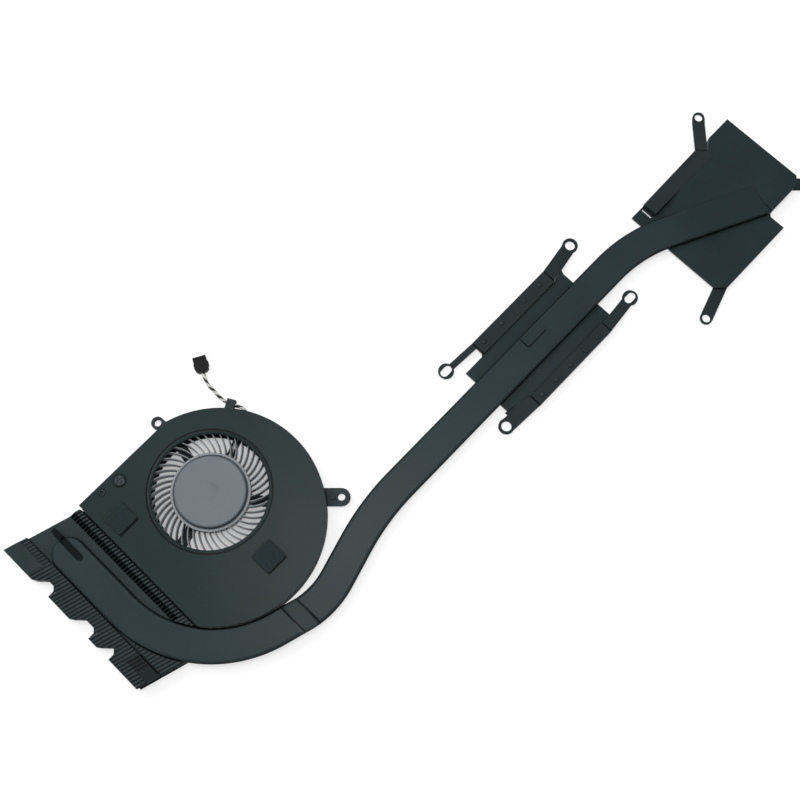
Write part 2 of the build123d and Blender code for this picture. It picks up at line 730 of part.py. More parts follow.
def heat_pipe():
    high = FIN_LOW_H + PIPE_T / 2
    low = PIPE_LOW + PIPE_T / 2
    plane_a = Plane(origin=(JOGGLE_X1, 0, 0), z_dir=(1, 0, 0))
    plane_b = Plane(origin=(JOGGLE_X2, 0, 0), z_dir=(1, 0, 0))
    near = split(upper_run(pipe_section(), high), bisect_by=plane_a, keep=Keep.BOTTOM)
    far = split(lower_run(pipe_section(), low), bisect_by=plane_b, keep=Keep.TOP)
    cut_a = near.faces().filter_by(Axis.X).sort_by(Axis.X)[-1]
    cut_b = far.faces().filter_by(Axis.X).sort_by(Axis.X)[0]
    pipe = near + loft([cut_a, cut_b], ruled=True) + far
    pipe += round_end(PIPE_FIN_X, PIPE_END_Y, high)
    tip = PIPE_END_Y + PIPE_W / 2
    pipe += crimp_tail(tip, high)
    dent = Pos(PIPE_FIN_X + CRIMP_SIDE, tip - DENT_L / 2) * Rot(0, 0, 90) * slot_plan(DENT_L, DENT_W)
    pipe -= raise_plan(dent, PIPE_TOP_HIGH - DENT_D, PIPE_TOP_HIGH + DENT_D)
    return pipe


def pipe_pad():
    """Thin pad stuck on the pipe over the middle plate, along one edge of the flat."""
    x = MID_X + PIPE_PAD_X
    edge = PIPE_RUN_Y + PIPE_W / 2 - PIPE_EDGE
    return block(x, x + PIPE_PAD_L, edge - PIPE_PAD_W, edge, PIPE_TOP_LOW, PIPE_TOP_LOW + PIPE_PAD_T)


def fin_line(x, y):
    """Y at x of a fin whose outer end is at y."""
    return y + FIN_SLOPE * (x - FIN_OUTER_X)


def fin_bar(x0, x1, width, z0, z1):
    """A strip that follows the first fin from x0 to x1, width measured along the stack."""
    y0, y1 = fin_line(x0, FIN_FIRST_Y), fin_line(x1, FIN_FIRST_Y)
    return slab([(x0, y0), (x1, y1), (x1, y1 - width), (x0, y0 - width)], z0, z1)


def comb_ramp():
    """Clears the comb's back, so that it slopes down to the trough."""
    x0, x1 = FIN_COMB_X, FIN_COMB_X + FIN_COMB_RAMP
    top = FIN_COMB_TOP + OVERCUT
    line = [(x0, 0, FIN_LOW_H), (x1, 0, FIN_COMB_TOP), (x1, 0, top), (x0, 0, top)]
    return extrude(make_face(Polyline(*line, close=True)), amount=2 * SCROLL_R, both=True, dir=(0, 1, 0))


def fin(beside_bend):
    """One folded fin: web, floor flange and stepped top flanges."""
    full = FIN_PITCH - SEAT_FIT
    body = fin_bar(FIN_OUTER_X, FIN_INNER_X, FIN_T, 0, FIN_LOW_H)
    body += fin_bar(FIN_OUTER_X, FIN_STEP_X, FIN_T, 0, FIN_STRIP_TOP)
    body += fin_bar(FIN_OUTER_X, FIN_INNER_X, full, 0, FIN_T)
    body += fin_bar(FIN_STEP_X, FIN_COMB_X, full, FIN_LOW_H - FIN_T, FIN_LOW_H)
    body += fin_bar(FIN_OUTER_X, FIN_STEP_X, FIN_FLANGE_W, FIN_STRIP_TOP - FIN_T, FIN_STRIP_TOP)
    if beside_bend:
        x = FIN_STEP_X + FIN_GROOVE_W
        body += fin_bar(x, FIN_INNER_X, FIN_T, 0, FIN_COMB_TOP)
        return body + fin_bar(x, FIN_INNER_X, FIN_FLANGE_W, FIN_COMB_TOP - FIN_T, FIN_COMB_TOP)
    body += fin_bar(FIN_COMB_X, FIN_INNER_X, FIN_T, 0, FIN_COMB_TOP)
    body += fin_bar(FIN_COMB_X, FIN_INNER_X, FIN_COMB_FLANGE_W, FIN_COMB_TOP - FIN_T, FIN_COMB_TOP)
    return body - comb_ramp()


def fin_tab(x0, x1, count, back):
    """A closed tab on a fin's strip that lies over its neighbours, count fins wide."""
    low = FIN_STRIP_TOP + SEAT_FIT
    tab = fin_bar(x0, x1, count * FIN_PITCH - SEAT_FIT, low, low + FIN_T)
    return Pos(0, back * FIN_PITCH, 0) * tab + fin_bar(x0, x1, FIN_T, FIN_STRIP_TOP - FIN_T, low + FIN_T)


def notch_cutter(start, length):
    """Cut into the strip's outer edge: one leaning side, one square side, clipped corners."""
    x0, x1 = FIN_OUTER_X - NOTCH_DEPTH, FIN_OUTER_X + NOTCH_DEPTH
    y0, y1 = FIN_FIRST_Y - start, FIN_FIRST_Y - start - length
    points = [
        (x0, y0 + NOTCH_LEAN),
        (x1 - NOTCH_CORNER, y0 - NOTCH_LEAN),
        (x1, y0 - NOTCH_LEAN - NOTCH_CORNER),
        (x1, y1 + NOTCH_CORNER),
        (x1 - NOTCH_CORNER, y1),
        (x0, y1),
    ]
    return slab(points, -OVERCUT, FIN_STRIP_TOP + OVERCUT)


def fin_stack():
    plain = fin(False)
    bent = fin(True)
    first_tab = fin_tab(FIN_OUTER_X, FIN_OUTER_X + FIRST_TAB_W, FIRST_TAB_FINS, 0)
    last_tab = fin_tab(FIN_STEP_X - LAST_TAB_W, FIN_STEP_X, LAST_TAB_FINS, LAST_TAB_FINS - 1)
    high = FIN_STRIP_TOP + OVERCUT - FIN_LOW_H
    room = Rectangle(PIPE_W + 2 * FIN_PIPE_FIT, high)
    room = upper_run(room, FIN_LOW_H + high / 2)
    notches = [notch_cutter(a, b) for a, b in zip(NOTCH_STARTS, NOTCH_LENGTHS)]
    fins = []
    for i in range(FINS):
        along = i * FIN_PITCH
        low = fin_line(FIN_STEP_X, FIN_FIRST_Y - along) < SCROLL_Y - FIN_BEND_IN
        one = bent if low else plain
        if i == 0:
            one = one + first_tab
        if i == FINS - 1:
            one = one + last_tab
        one = Pos(0, -along, 0) * one
        for start, length, cut in zip(NOTCH_STARTS, NOTCH_LENGTHS, notches):
            if start - NOTCH_LEAN - FIN_PITCH < along < start + length + FIN_PITCH:
                one = one - cut
        if fin_line(FIN_COMB_X, FIN_FIRST_Y - along) < SCROLL_Y:
            one = one - room
        fins.append(one.solids().sort_by(SortBy.VOLUME)[-1])
    return fins


def arm_plan(root_a, root_b, ring, width, ring_r):
    """A tapered arm in plan from a root edge to a ring."""
    mid = ((root_a[0] + root_b[0]) / 2, (root_a[1] + root_b[1]) / 2)
    length = hypot(ring[0] - mid[0], ring[1] - mid[1])
    nx, ny = -(ring[1] - mid[1]) / length, (ring[0] - mid[0]) / length
    a = (ring[0] + nx * width / 2, ring[1] + ny * width / 2)
    b = (ring[0] - nx * width / 2, ring[1] - ny * width / 2)
    side = (root_a[0] - mid[0]) * nx + (root_a[1] - mid[1]) * ny
    far = [a, b] if side > 0 else [b, a]
    bar = make_face(Polyline(root_a, root_b, far[1], far[0], close=True))
    return bar + Pos(*ring) * RegularPolygon(ring_r, RING_SIDES)


def rail_bend():
    """The rail's side view, flat on the plate and sloping down to the rings, as a thick sheet."""
    ends = 2 * RING_R
    low, high = RING_Z, PIPE_LOW
    line = [
        (HOLES_X0 - ends, low),
        (HOLES_X0 + RING_R, low),
        (RAIL_X0, high),
        (RAIL_X1, high),
        (HOLES_X1 - RING_R, low),
        (HOLES_X1 + ends, low),
    ]
    above = [(x, z + RAIL_T) for x, z in reversed(line)]
    section = make_face(Polyline(*[(x, PIPE_RUN_Y, z) for x, z in line + above], close=True))
    return extrude(section, amount=HOLES_SPAN_Y, both=True, dir=(0, 1, 0))


def rail(plan, holes, rivets):
    body = raise_plan(plan, 0, FAN_HEIGHT) & rail_bend()
    for hole in holes:
        body -= raise_plan(hole, -OVERCUT, FAN_HEIGHT)
    for place in rivets:
        body -= rivet_rod(place, RIVET_R + SEAT_FIT, 0, FAN_HEIGHT)
    # A score across each end, where the arms bend down
    top = PIPE_LOW + RAIL_T
    y0, y1 = RAIL_B_Y - OVERCUT, RAIL_A_Y + OVERCUT
    for x in (RAIL_X0, RAIL_X1):
        body -= block(x - SCORE_W / 2, x + SCORE_W / 2, y0, y1, top - SCORE_D, FAN_HEIGHT)
    return body


def rivet_rod(place, r, z0, z1):
    return prism(*place, r, RIVET_SIDES, z0, z1)


def rivets_a():
    return [(MID_X + x, RAIL_A_Y - RIVETS_A_IN) for x in RIVETS_A]


def rivets_b():
    return [(MID_X + x, RAIL_B_Y + RIVETS_B_IN) for x in RIVETS_B]


def round_hole(x, y):
    return Pos(x, y) * Circle(SCREW_HOLE_R)


def slot_hole(x, y):
    return Pos(x, y) * slot_plan(SLOT_L, SLOT_W)


def arm_a1(fit):
    """Rail A's wide arm in plan, grown by a fit for the plate beside it."""
    upper, lower = (RAIL_X1, RAIL_A_Y + fit), (RAIL_X1, RAIL_A_Y - ARM_A1_ROOT - fit)
    return arm_plan(upper, lower, (HOLES_X1, HOLES_Y0), ARM_A1_W + 2 * fit, RING_R + fit)


def arm_b0(fit):
    """Rail B's shouldered arm in plan, grown by a fit for the plate beside it."""
    y = RAIL_B_Y
    lower, upper = (RAIL_X0, y - fit), (RAIL_X0, y + ARM_B0_ROOT + fit)
    arm = arm_plan(lower, upper, (HOLES_X0, HOLES_Y1), ARM_B0_W + 2 * fit, RING_R + fit)
    x = MID_X - MID_LEFT - SHOULDER_OUT
    shoulder = [(RAIL_X0, y), upper, (x, y + SHOULDER_UP + fit), (x, HOLES_Y1)]
    return arm + make_face(Polyline(*shoulder, close=True))


def arm_b1(fit):
    """Rail B's narrow arm in plan, grown by a fit for the plate beside it."""
    lower, upper = (RAIL_X1, RAIL_B_Y - fit), (RAIL_X1, RAIL_B_Y + ARM_B1_ROOT + fit)
    return arm_plan(lower, upper, (HOLES_X1, HOLES_Y1), ARM_B1_W + 2 * fit, RING_R + fit)


def mid_rail_a():
    y = RAIL_A_Y
    plan = Pos(MID_X, y - RAIL_A_W / 2) * Rectangle(RAIL_L, RAIL_A_W)
    ring0, ring1 = (HOLES_X0, HOLES_Y0), (HOLES_X1, HOLES_Y0)
    plan += arm_plan((RAIL_X0, y), (RAIL_X0, y - ARM_A0_ROOT), ring0, ARM_A0_W, RING_R)
    plan += arm_a1(0)
    return rail(plan, [slot_hole(*ring0), round_hole(*ring1)], rivets_a())


def mid_rail_b():
    y = RAIL_B_Y
    plan = Pos(MID_X, y + RAIL_B_W / 2) * Rectangle(RAIL_L, RAIL_B_W)
    ring0, ring1 = (HOLES_X0, HOLES_Y1), (HOLES_X1, HOLES_Y1)
    plan += arm_b0(0)
    plan += arm_b1(0)
    return rail(plan, [round_hole(*ring0), slot_hole(*ring1)], rivets_b())


def mid_plate():
    x0, x1 = MID_X - MID_LEFT, MID_X + MID_RIGHT
    y0 = PIPE_RUN_Y + MID_UP
    # Levels inside the arms, which then cut the plate back to their edges
    in_a1 = RAIL_A_Y - ARM_A1_ROOT / 2
    in_b0 = RAIL_B_Y + ARM_B0_ROOT / 2
    in_b1 = RAIL_B_Y + ARM_B1_ROOT / 2
    points = [
        (x0, y0),
        (RAIL_X0 - MID_CORNER, y0),
        (RAIL_X0, y0 + MID_CORNER),
        (RAIL_X0, RAIL_A_Y),
        (RAIL_X1, RAIL_A_Y),
        (RAIL_X1, in_a1),
        (x1 + MID_TIP, in_a1),
        (x1, y0),
        (x1, in_b1),
        (RAIL_X1, in_b1),
        (RAIL_X1, RAIL_B_Y),
        (RAIL_X0, RAIL_B_Y),
        (RAIL_X0, in_b0),
        (x0, in_b0),
    ]
    plate = slab(points, SLUG_T, PIPE_LOW)
    for arm in (arm_a1(ARM_FIT), arm_b0(ARM_FIT), arm_b1(ARM_FIT)):
        plate -= raise_plan(arm, 0, FAN_HEIGHT)
    for place in rivets_a() + rivets_b():
        plate -= rivet_rod(place, RIVET_R + SEAT_FIT, 0, FAN_HEIGHT)
    return plate


def mid_rivets():
    top = PIPE_LOW + RAIL_T
    rivets = []
    for place in rivets_a() + rivets_b():
        pin = rivet_rod(place, RIVET_R, SLUG_T, top)
        rivets.append(pin + rivet_rod(place, RIVET_HEAD_R, top, top + RIVET_HEAD_H))
    return rivets


def mid_slug():
    return Pos(MID_X + MID_SLUG_X, PIPE_RUN_Y, SLUG_T / 2) * Box(MID_SLUG_L, MID_SLUG_W, SLUG_T)


def far_slug():
    place = Pos(FAR_X0 + FAR_SLUG_IN, FAR_Y0 - FAR_SLUG_DOWN, SLUG_T / 2)
    return place * Box(FAR_SLUG_L, FAR_SLUG_W, SLUG_T)


def far_corner():
    """The cut corner's outline, from the plate's far edge to the step."""
    return [
        (FAR_X1, FAR_CUT_Y + FAR_CORNER),
        (FAR_X1 - FAR_CORNER, FAR_CUT_Y),
        (FAR_CUT_X + FAR_CUT_R, FAR_CUT_Y),
    ]


def fold_notch():
    """The notch in the plate's edge that frees the folded arm."""
    return [(NOTCH_X - NOTCH_HALF, FAR_Y0), (NOTCH_X, NOTCH_Y), (NOTCH_X + NOTCH_HALF, FAR_Y0)]


def land_ramp(a, b):
    """The slope from the plate up to the land's near edge, which runs from a to b."""
    line = [(0, SLUG_T), (0, PIPE_TOP_LOW), (-LAND_RAMP, PIPE_LOW), (-LAND_RAMP, SLUG_T)]
    side = make_face(Polyline(*[(x, 0, z) for x, z in line], close=True))
    length = hypot(b[0] - a[0], b[1] - a[1])
    ramp = extrude(side, amount=length, both=True, dir=(0, 1, 0))
    ramp = Pos((a[0] + b[0]) / 2, (a[1] + b[1]) / 2, 0) * Rot(0, 0, bearing(b, a) - 90) * ramp
    return ramp & block(FAR_X0, FAR_X1, b[1], LEAF_Y, 0, FAN_HEIGHT)


def far_plate():
    base = [(FAR_X0, FAR_Y0)] + fold_notch() + [(FAR_X1, FAR_Y0)] + far_corner()
    base += [(FAR_CUT_X, FAR_CUT_Y - FAR_CUT_R), (FAR_CUT_X, FAR_Y1)]
    base += [(FAR_X0 + FAR_NEAR_CORNER, FAR_Y1), (FAR_X0, FAR_Y1 + FAR_NEAR_CORNER)]
    plate = slab(base, SLUG_T, PIPE_LOW)
    # Land beside the pipe, level with its top
    bend, end = pipe_corners()[-2:]
    land = [(FAR_X0 + LAND_LEAF_IN, LEAF_Y), (NOTCH_X, LEAF_Y)] + fold_notch()[1:]
    land += [(FAR_X1, FAR_Y0)] + far_corner() + [end]
    land_x = FAR_X0 + LAND_PIPE_IN
    land.append((land_x, PIPE_RUN_Y + PIPE_FAR_SLOPE * (land_x - PIPE_FAR_BEND_X)))
    plate += slab(land, SLUG_T, PIPE_TOP_LOW)
    plate += land_ramp(land[0], land[-1])
    # Shelf under the leaf
    shelf = [(LEAF_X0, LEAF_Y), (LEAF_X0, FAR_Y0)] + fold_notch()[:2] + [(NOTCH_X, LEAF_Y)]
    plate += slab(shelf, SLUG_T, LEAF_Z)
    slit = LEAF_X0 - RELIEF_BACK
    edge = RELIEF_EDGE
    plate -= block(slit, slit + RELIEF_W, LEAF_Y + edge, FAR_Y0 - edge, 0, FAN_HEIGHT)
    plate -= beam(bend, end, PIPE_W + 2 * SEAT_FIT, PIPE_LOW, FAN_HEIGHT)
    return plate


def ring_arm(reach, width):
    """A straight arm in plan along +X that ends in a ring."""
    ring = RegularPolygon(FAR_RING_R, RING_SIDES)
    return Pos(reach / 2, 0) * Rectangle(reach, width) + Pos(reach, 0) * ring


def far_spring_a():
    """Leaf along the plate's edge whose arm folds down to its ring."""
    place = Pos(FOLD_X, FOLD_Y, 0) * Rot(0, 0, ARM_A_TURN)
    out = polar(ARM_W / 2, ARM_A_TURN + 90)
    fold_a = (FOLD_X + out[0], FOLD_Y + out[1])
    fold_b = (FOLD_X - out[0], FOLD_Y - out[1])
    edge = LEAF_Y + SEAT_FIT
    flat = [(LEAF_X0, FAR_Y0), fold_a, fold_b, (fold_b[0], edge), (LEAF_X0, edge)]
    leaf = slab(flat, LEAF_Z, PIPE_TOP_LOW)
    knee = ARM_A_L - FAR_RING_R - KNEE_GAP
    line = [(0, LEAF_Z), (knee, RING_Z), (ARM_A_L + 2 * FAR_RING_R, RING_Z)]
    above = [(s, z + LEAF_T) for s, z in reversed(line)]
    side = make_face(Polyline(*[(s, 0, z) for s, z in line + above], close=True))
    bend = extrude(side, amount=ARM_W, both=True, dir=(0, 1, 0))
    arm = raise_plan(ring_arm(ARM_A_L, ARM_W), 0, FAN_HEIGHT) & bend
    arm -= rod(ARM_A_L, 0, FAR_HOLE_R, -OVERCUT, FAN_HEIGHT)
    spring = leaf + place * arm
    return spring - beam(fold_a, fold_b, SCORE_W, PIPE_TOP_LOW - SCORE_D, FAN_HEIGHT)


def flat_spring(root, reach, turn):
    """A flat spring welded under the plate, with a ring beyond its edge."""
    strip = raise_plan(ring_arm(reach, ARM_W), SLUG_T - LEAF_T, SLUG_T)
    strip -= rod(reach, 0, FAR_HOLE_R, -OVERCUT, FAN_HEIGHT)
    return Pos(root[0], root[1], 0) * Rot(0, 0, turn) * strip


def far_spring_b():
    return flat_spring((FAR_X0 + ARM_B_IN, FAR_Y1 + ARM_B_UP), ARM_B_L, ARM_B_TURN)


def far_spring_c():
    return flat_spring((FAR_X1 - ARM_C_IN, FAR_CUT_Y + ARM_C_UP), ARM_C_L, ARM_C_TURN)


NODES = (
    fan_base, fan_cover, cover_screw, cover_pads, impeller, rotor_yoke, magnet_ring, shaft, thrust_pad,
    bearing_sleeve, bearing_holder, stator_core, stator_coils, motor_board, fan_lead, plug_housing,
    plug_contacts, fin_stack, heat_pipe, pipe_pad, mid_plate, mid_slug, mid_rail_a, mid_rail_b, mid_rivets,
    far_plate, far_slug, far_spring_a, far_spring_b, far_spring_c,
)

os.makedirs("parts", exist_ok=True)
for make in NODES:
    made = make()
    node = Compound(children=list(made)) if isinstance(made, (list, tuple)) else made
    export_step(node, os.path.join("parts", make.__name__ + ".step"))
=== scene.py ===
import math

import bmesh
import bpy
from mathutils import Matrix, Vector, noise


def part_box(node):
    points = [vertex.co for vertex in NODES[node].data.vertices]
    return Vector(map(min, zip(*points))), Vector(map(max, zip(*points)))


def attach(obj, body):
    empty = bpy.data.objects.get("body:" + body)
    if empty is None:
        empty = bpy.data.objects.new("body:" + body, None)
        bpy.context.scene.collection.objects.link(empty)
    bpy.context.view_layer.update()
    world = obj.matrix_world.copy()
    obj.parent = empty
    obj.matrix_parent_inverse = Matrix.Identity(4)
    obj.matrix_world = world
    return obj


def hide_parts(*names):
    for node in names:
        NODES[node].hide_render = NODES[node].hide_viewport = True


bl_info = {
    "name": "Laptop Cooling Module",
    "version": (1, 0, 0),
    "blender": (4, 5, 0),
    "location": "View3D > Sidebar > Cooling Module",
    "description": "Dresses a blower, fin stack, flat heat pipe and two cold plates for a studio picture",
    "category": "Add Mesh",
}

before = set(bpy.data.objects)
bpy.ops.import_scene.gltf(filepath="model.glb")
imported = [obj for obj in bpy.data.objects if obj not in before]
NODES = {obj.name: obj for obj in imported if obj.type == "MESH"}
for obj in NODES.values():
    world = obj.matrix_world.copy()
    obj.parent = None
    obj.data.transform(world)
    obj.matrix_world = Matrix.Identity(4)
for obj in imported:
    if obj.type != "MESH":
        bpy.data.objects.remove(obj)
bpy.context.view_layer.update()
MM = 0.001

# Places and sizes are in millimetres: x and y from the blower's axis, z from the floor

# Camera
AIM = (65.88, -23.37, 5.0)
EYE = (-4.46, -90.87, 381.53)
LENS, SENSOR = 51.98, 36.0
CLIP = (10.0, 20000.0)

# Stage: the backdrop's radii and heights, the ring where the painted shadow in the floor's glow fades out,
# and the lamps, each with its place, width and share of the key light's power
FLOOR_HALF, FLOOR_Z = 8000.0, -0.02
BACKDROP = ((4000, 1), (5000, 120), (5700, 500), (6000, 1200), (6000, 6000))
INLET_RING = (24.0, 30.0)
SOFTBOXES = (
    ("key_softbox", (20, 620, 850), 700, 1.0),
    ("top_softbox", (70, 30, 850), 240, 0.62),
)

# Levels of the stage, as shares of white
PAPER_SHADE = 0.45
# the lower glow under the blower's inlet is a painted shadow
INLET_SHADOW_GLOW, FLOOR_GLOW, BACKDROP_GLOW = 0.36, 0.65, 0.82
SKY_LEVEL = 0.4

# Lead
LEAD_POINTS = (
    (10.428, 4.087),
    (20.558, 8.057),
    (29.142, 11.421),
    (24.7, 19.5),
    (25.03, 26.156),
    (25.2, 29.6),
    (26.9, 32.6),
)
LEAD_Z = 0.9
LEAD_D = 1.2
WIRES, WIRE_SIDES = 4, 10

# Impeller: the blades' sweep and width are in degrees, and their curl is a power of the way out
IMPELLER_R = 25.0
BLADES = 47
BLADE_SWEEP = 27.0
BLADE_CURL = 1.2
BLADE_ARC = 1.55
BLADE_LOW, BLADE_HIGH = 1.9, 5.3
BLADE_ROUND, BLADE_ROOT = 0.13, 0.7
SKIRT_R, SKIRT_ROUND = 13.3, 0.25
GROOVE_D = 0.4
HUB_R, HUB_ROUND = 12.0, 0.6
HUB_INNER_R = 11.3
HUB_TOP = 6.7
HUB_ROOF = 6.0
DIMPLE_R, DIMPLE_D = 2.2, 0.12
WHEEL_SIDES = 128

# Cover screw and its cross recess
SCREW = (-18.2, 23.8)
SCREW_R, SCREW_ROUND = 1.9, 0.35
SCREW_SEAT, SCREW_TOP = 6.75, 7.35
SCREW_SHANK_R = 0.8
SCREW_LOW = 3.15
CROSS_HALF, CROSS_REACH, CROSS_D = 0.28, 1.2, 0.3

# Foam pads: middle, length, width, underside and thickness, then insets of their sides by share of height
PADS = (
    (-26.4, 14.3, 8.4, 8.4, 7.0, 1.0),
    (-1.6, -29.4, 8.4, 8.4, 7.0, 1.0),
    (114.2, -40.147, 9.2, 4.3, 4.6, 0.35),
)
PAD_SIDES = ((0.0, 0.0), (0.02, 0.3), (0.08, 0.6), (0.1, 0.78), (0.3, 0.95))
PAD_INSET, PAD_CORNER_R = 0.4, 0.7
# the first is the width of the painted shade along a pad's shaded side
PAD_SHADE_W, PAD_PIT = 0.35, 0.45
PAD_TOP, PAD_PIT_D = 0.975, 0.022
PAD_RINGS = 13

# Heat pipe, with a rim of painted shade of its own width on each side
PIPE_CORNERS = (
    (-46.1, 18.505),
    (-46.1, -38.597),
    (0.4, -52.197),
    (33.0, -43.047),
    (163.5, -43.047),
    (207.0, -64.546),
)
PIPE_RADII = (42.3, 30.0, 90.0, 55.0)
PIPE_W, PIPE_T = 11.4, 2.2
PIPE_HIGH, PIPE_LOW = 4.7, 3.5
SIDE_FLAT, LAND_ROUND = 0.03, 0.04
PIPE_RIMS, RIM_FADE = (0.5, 0.25), 0.25
# depth of a pressed mark at which its painted shade is full
SHADE_FULL_D = 0.25
JOGGLE = (-10.4, -5.0)
JOGGLE_LINE_D, JOGGLE_LINE_W = 0.3, (0.1, 0.4)
# painted highlight added on the joggle's slope
JOGGLE_HIGHLIGHT = (0.015, 0.015, 0.015, 1.0)
DENT_X, DENT_W, DENT_D = -44.4, 2.4, 0.6
DENT_Y, DENT_EDGE = (13.805, 24.205), (-0.35, 0.05)
PLATE_X, PLATE_FADE, PLATE_TONE = 182.0, 4.0, (-12.0, 6.0)
END_LEAN, END_OVER = 1.7, 0.03
TAIL_L, TAIL_T = 4.2, 1.0
TAIL_ROOT, TAIL_TIP, TAIL_IN = 2.2, 1.5, 0.2
TIP_STEPS, TAIL_STEPS, TAIL_SIDES = 25, 12, 16
TIP_BLUNT = 0.9995

# Rivets, the painted shade lines across the rails' bends and in the crease round the inlet
RIVET_ROWS = (
    (-29.347, (101.2, 110.3, 121.8, 129.7)),
    (-56.497, (101.1, 108.3, 115.5, 122.9, 129.6)),
)
RIVET_R, RIVET_HEAD_R, RIVET_DOME = 0.7, 1.05, 0.3
RAIL_BENDS = (97.8, 134.2)
LIP_R = 20.75

# Fins: the darker block is a middle and a half width, in x and then in fins
FIN_PITCH, FIN_SLOPE = 1.27, -0.3
FIN_START = (-59.85, 34.505)
FIN_TOPS = (5.75, 6.05)
FIN_BLOCK = ((-53.9, 2.4), (45.95, 3.85))
FIN_BLOCK_TONE = 0.45

# Edges: points closer than the seam are one, and faces or edges are told apart by degrees
SEAM = 0.001
PLUG_EDGE, COIL_EDGE = 0.4, 0.25
FLAT_ANGLE, EDGE_ANGLE = 0.5, 28.0
FLAT_WEIGHT = 80


def linear(code):
    """Linear colour with alpha of an sRGB hex value."""
    parts = [int(code[i : i + 2], 16) / 255 for i in (1, 3, 5)]
    parts = [p / 12.92 if p <= 0.04045 else ((p + 0.055) / 1.055) ** 2.4 for p in parts]
    return (*parts, 1.0)


def colour_prop(name, description, code):
    return bpy.props.FloatVectorProperty(
        name=name, description=description, subtype="COLOR", size=4, min=0, max=1, default=linear(code)
    )


def length_prop(name, description, millimetres):
    return bpy.props.FloatProperty(
        name=name, description=description, unit="LENGTH", precision=5, min=0, default=millimetres * MM
    )


class CoolerColours(bpy.types.PropertyGroup):
    cover: colour_prop("Cover", "Coat on the blower's sheet cover", "#222e2f")
    pipe: colour_prop("Pipe", "Coat on the heat pipe", "#2b3639")
    plate: colour_prop("Plates", "Coat on the two cold plates", "#263133")
    spring: colour_prop("Springs", "Coat on the rails and arms", "#272f31")
    fins: colour_prop("Fins", "Coat on the folded fins", "#2b3537")
    case: colour_prop("Case", "Moulded case of the blower", "#353d3f")
    wheel: colour_prop("Impeller", "Moulded impeller", "#858b90")
    hub: colour_prop("Hub", "Moulded hub cap", "#59636a")
    foam: colour_prop("Foam", "Foam pads", "#252f31")
    dark_wire: colour_prop("Dark wires", "Dark insulation in the lead", "#16171a")
    pale_wire: colour_prop("Pale wires", "Pale insulation in the lead", "#d8d6d0")
    plug: colour_prop("Plug", "Moulded plug", "#060607")
    copper: colour_prop("Copper", "Bare copper faces and windings", "#b8734f")
    floor: colour_prop("Floor", "Studio floor", "#f4f4f4")


class CoolerSizes(bpy.types.PropertyGroup):
    edge_break: length_prop("Edge break", "Rounding of stamped and moulded edges", 0.12)
    plate_edge: length_prop("Plate edge", "Rounding of the plates and rails", 0.02)
    fin_seam: length_prop("Fin seam", "Widest gap between two fins that their solder closes", 0.12)
    pipe_step: length_prop("Pipe step", "Spacing of sections along the heat pipe", 0.5)
    lead_pitch: length_prop("Lead twist", "Length of one turn of the twisted lead", 3.7)
    wire: length_prop("Wire", "Diameter of one insulated wire", 0.5)
    foam_cell: length_prop("Foam cell", "Width of an open cell in the pads", 0.5)
    blade_steps: bpy.props.IntProperty(
        name="Blade steps", description="Sections along one blade", min=3, max=40, default=14
    )
    light: bpy.props.FloatProperty(
        name="Key light", description="Power of the soft key light", min=0, default=4.4, unit="POWER"
    )


def chosen(context):
    """The colours and sizes set in the sidebar."""
    return context.scene.cooler_colours, context.scene.cooler_sizes


def add(tree, kind, links=None, **settings):
    """A node with its settings; links gives each named or numbered input a value or an output."""
    node = tree.nodes.new(kind)
    for key, value in settings.items():
        setattr(node, key, value)
    for socket, value in (links or {}).items():
        if isinstance(value, bpy.types.NodeSocket):
            tree.links.new(value, node.inputs[socket])
        else:
            node.inputs[socket].default_value = value
    return node


def empty_finish(name):
    """A material without nodes, and its tree."""
    finish = bpy.data.materials.new(name)
    finish.use_nodes = True
    finish.node_tree.nodes.clear()
    return finish, finish.node_tree


def start_finish(name, **sockets):
    """A material with its shader, and the place on the piece in metres."""
    finish, tree = empty_finish(name)
    values = {key.replace("_", " "): value for key, value in sockets.items()}
    shader = add(tree, "ShaderNodeBsdfPrincipled", values)
    add(tree, "ShaderNodeOutputMaterial", {"Surface": shader.outputs["BSDF"]})
    place = add(tree, "ShaderNodeTexCoord").outputs["Object"]
    return finish, tree, shader, place


def per_mm(millimetres):
    """Scale of a pattern whose features are that wide."""
    return 1 / (millimetres * MM)


def scaled(colour, factor):
    """The colour made paler or darker."""
    return (*[min(1, c * factor) for c in colour[:3]], 1.0)


def sums(tree, operation, *values):
    """Output of a node that works on numbers."""
    return add(tree, "ShaderNodeMath", dict(enumerate(values)), operation=operation).outputs["Value"]


def ranged(tree, value, start, end, low=0.0, high=1.0, **settings):
    """The value, with its range from start to end turned into one from low to high."""
    reach = {"Value": value, "From Min": start, "From Max": end, "To Min": low, "To Max": high}
    return add(tree, "ShaderNodeMapRange", reach, **settings).outputs["Result"]


def blend(tree, share, first, second, kind="MIX"):
    """The first colour with a share of the second."""
    both = {0: share, 6: first, 7: second}
    return add(tree, "ShaderNodeMix", both, data_type="RGBA", blend_type=kind).outputs[2]


def grain(tree, place, scale, detail):
    """Level of a noise at that place."""
    return add(tree, "ShaderNodeTexNoise", {"Vector": place, "Scale": scale, "Detail": detail}).outputs["Fac"]


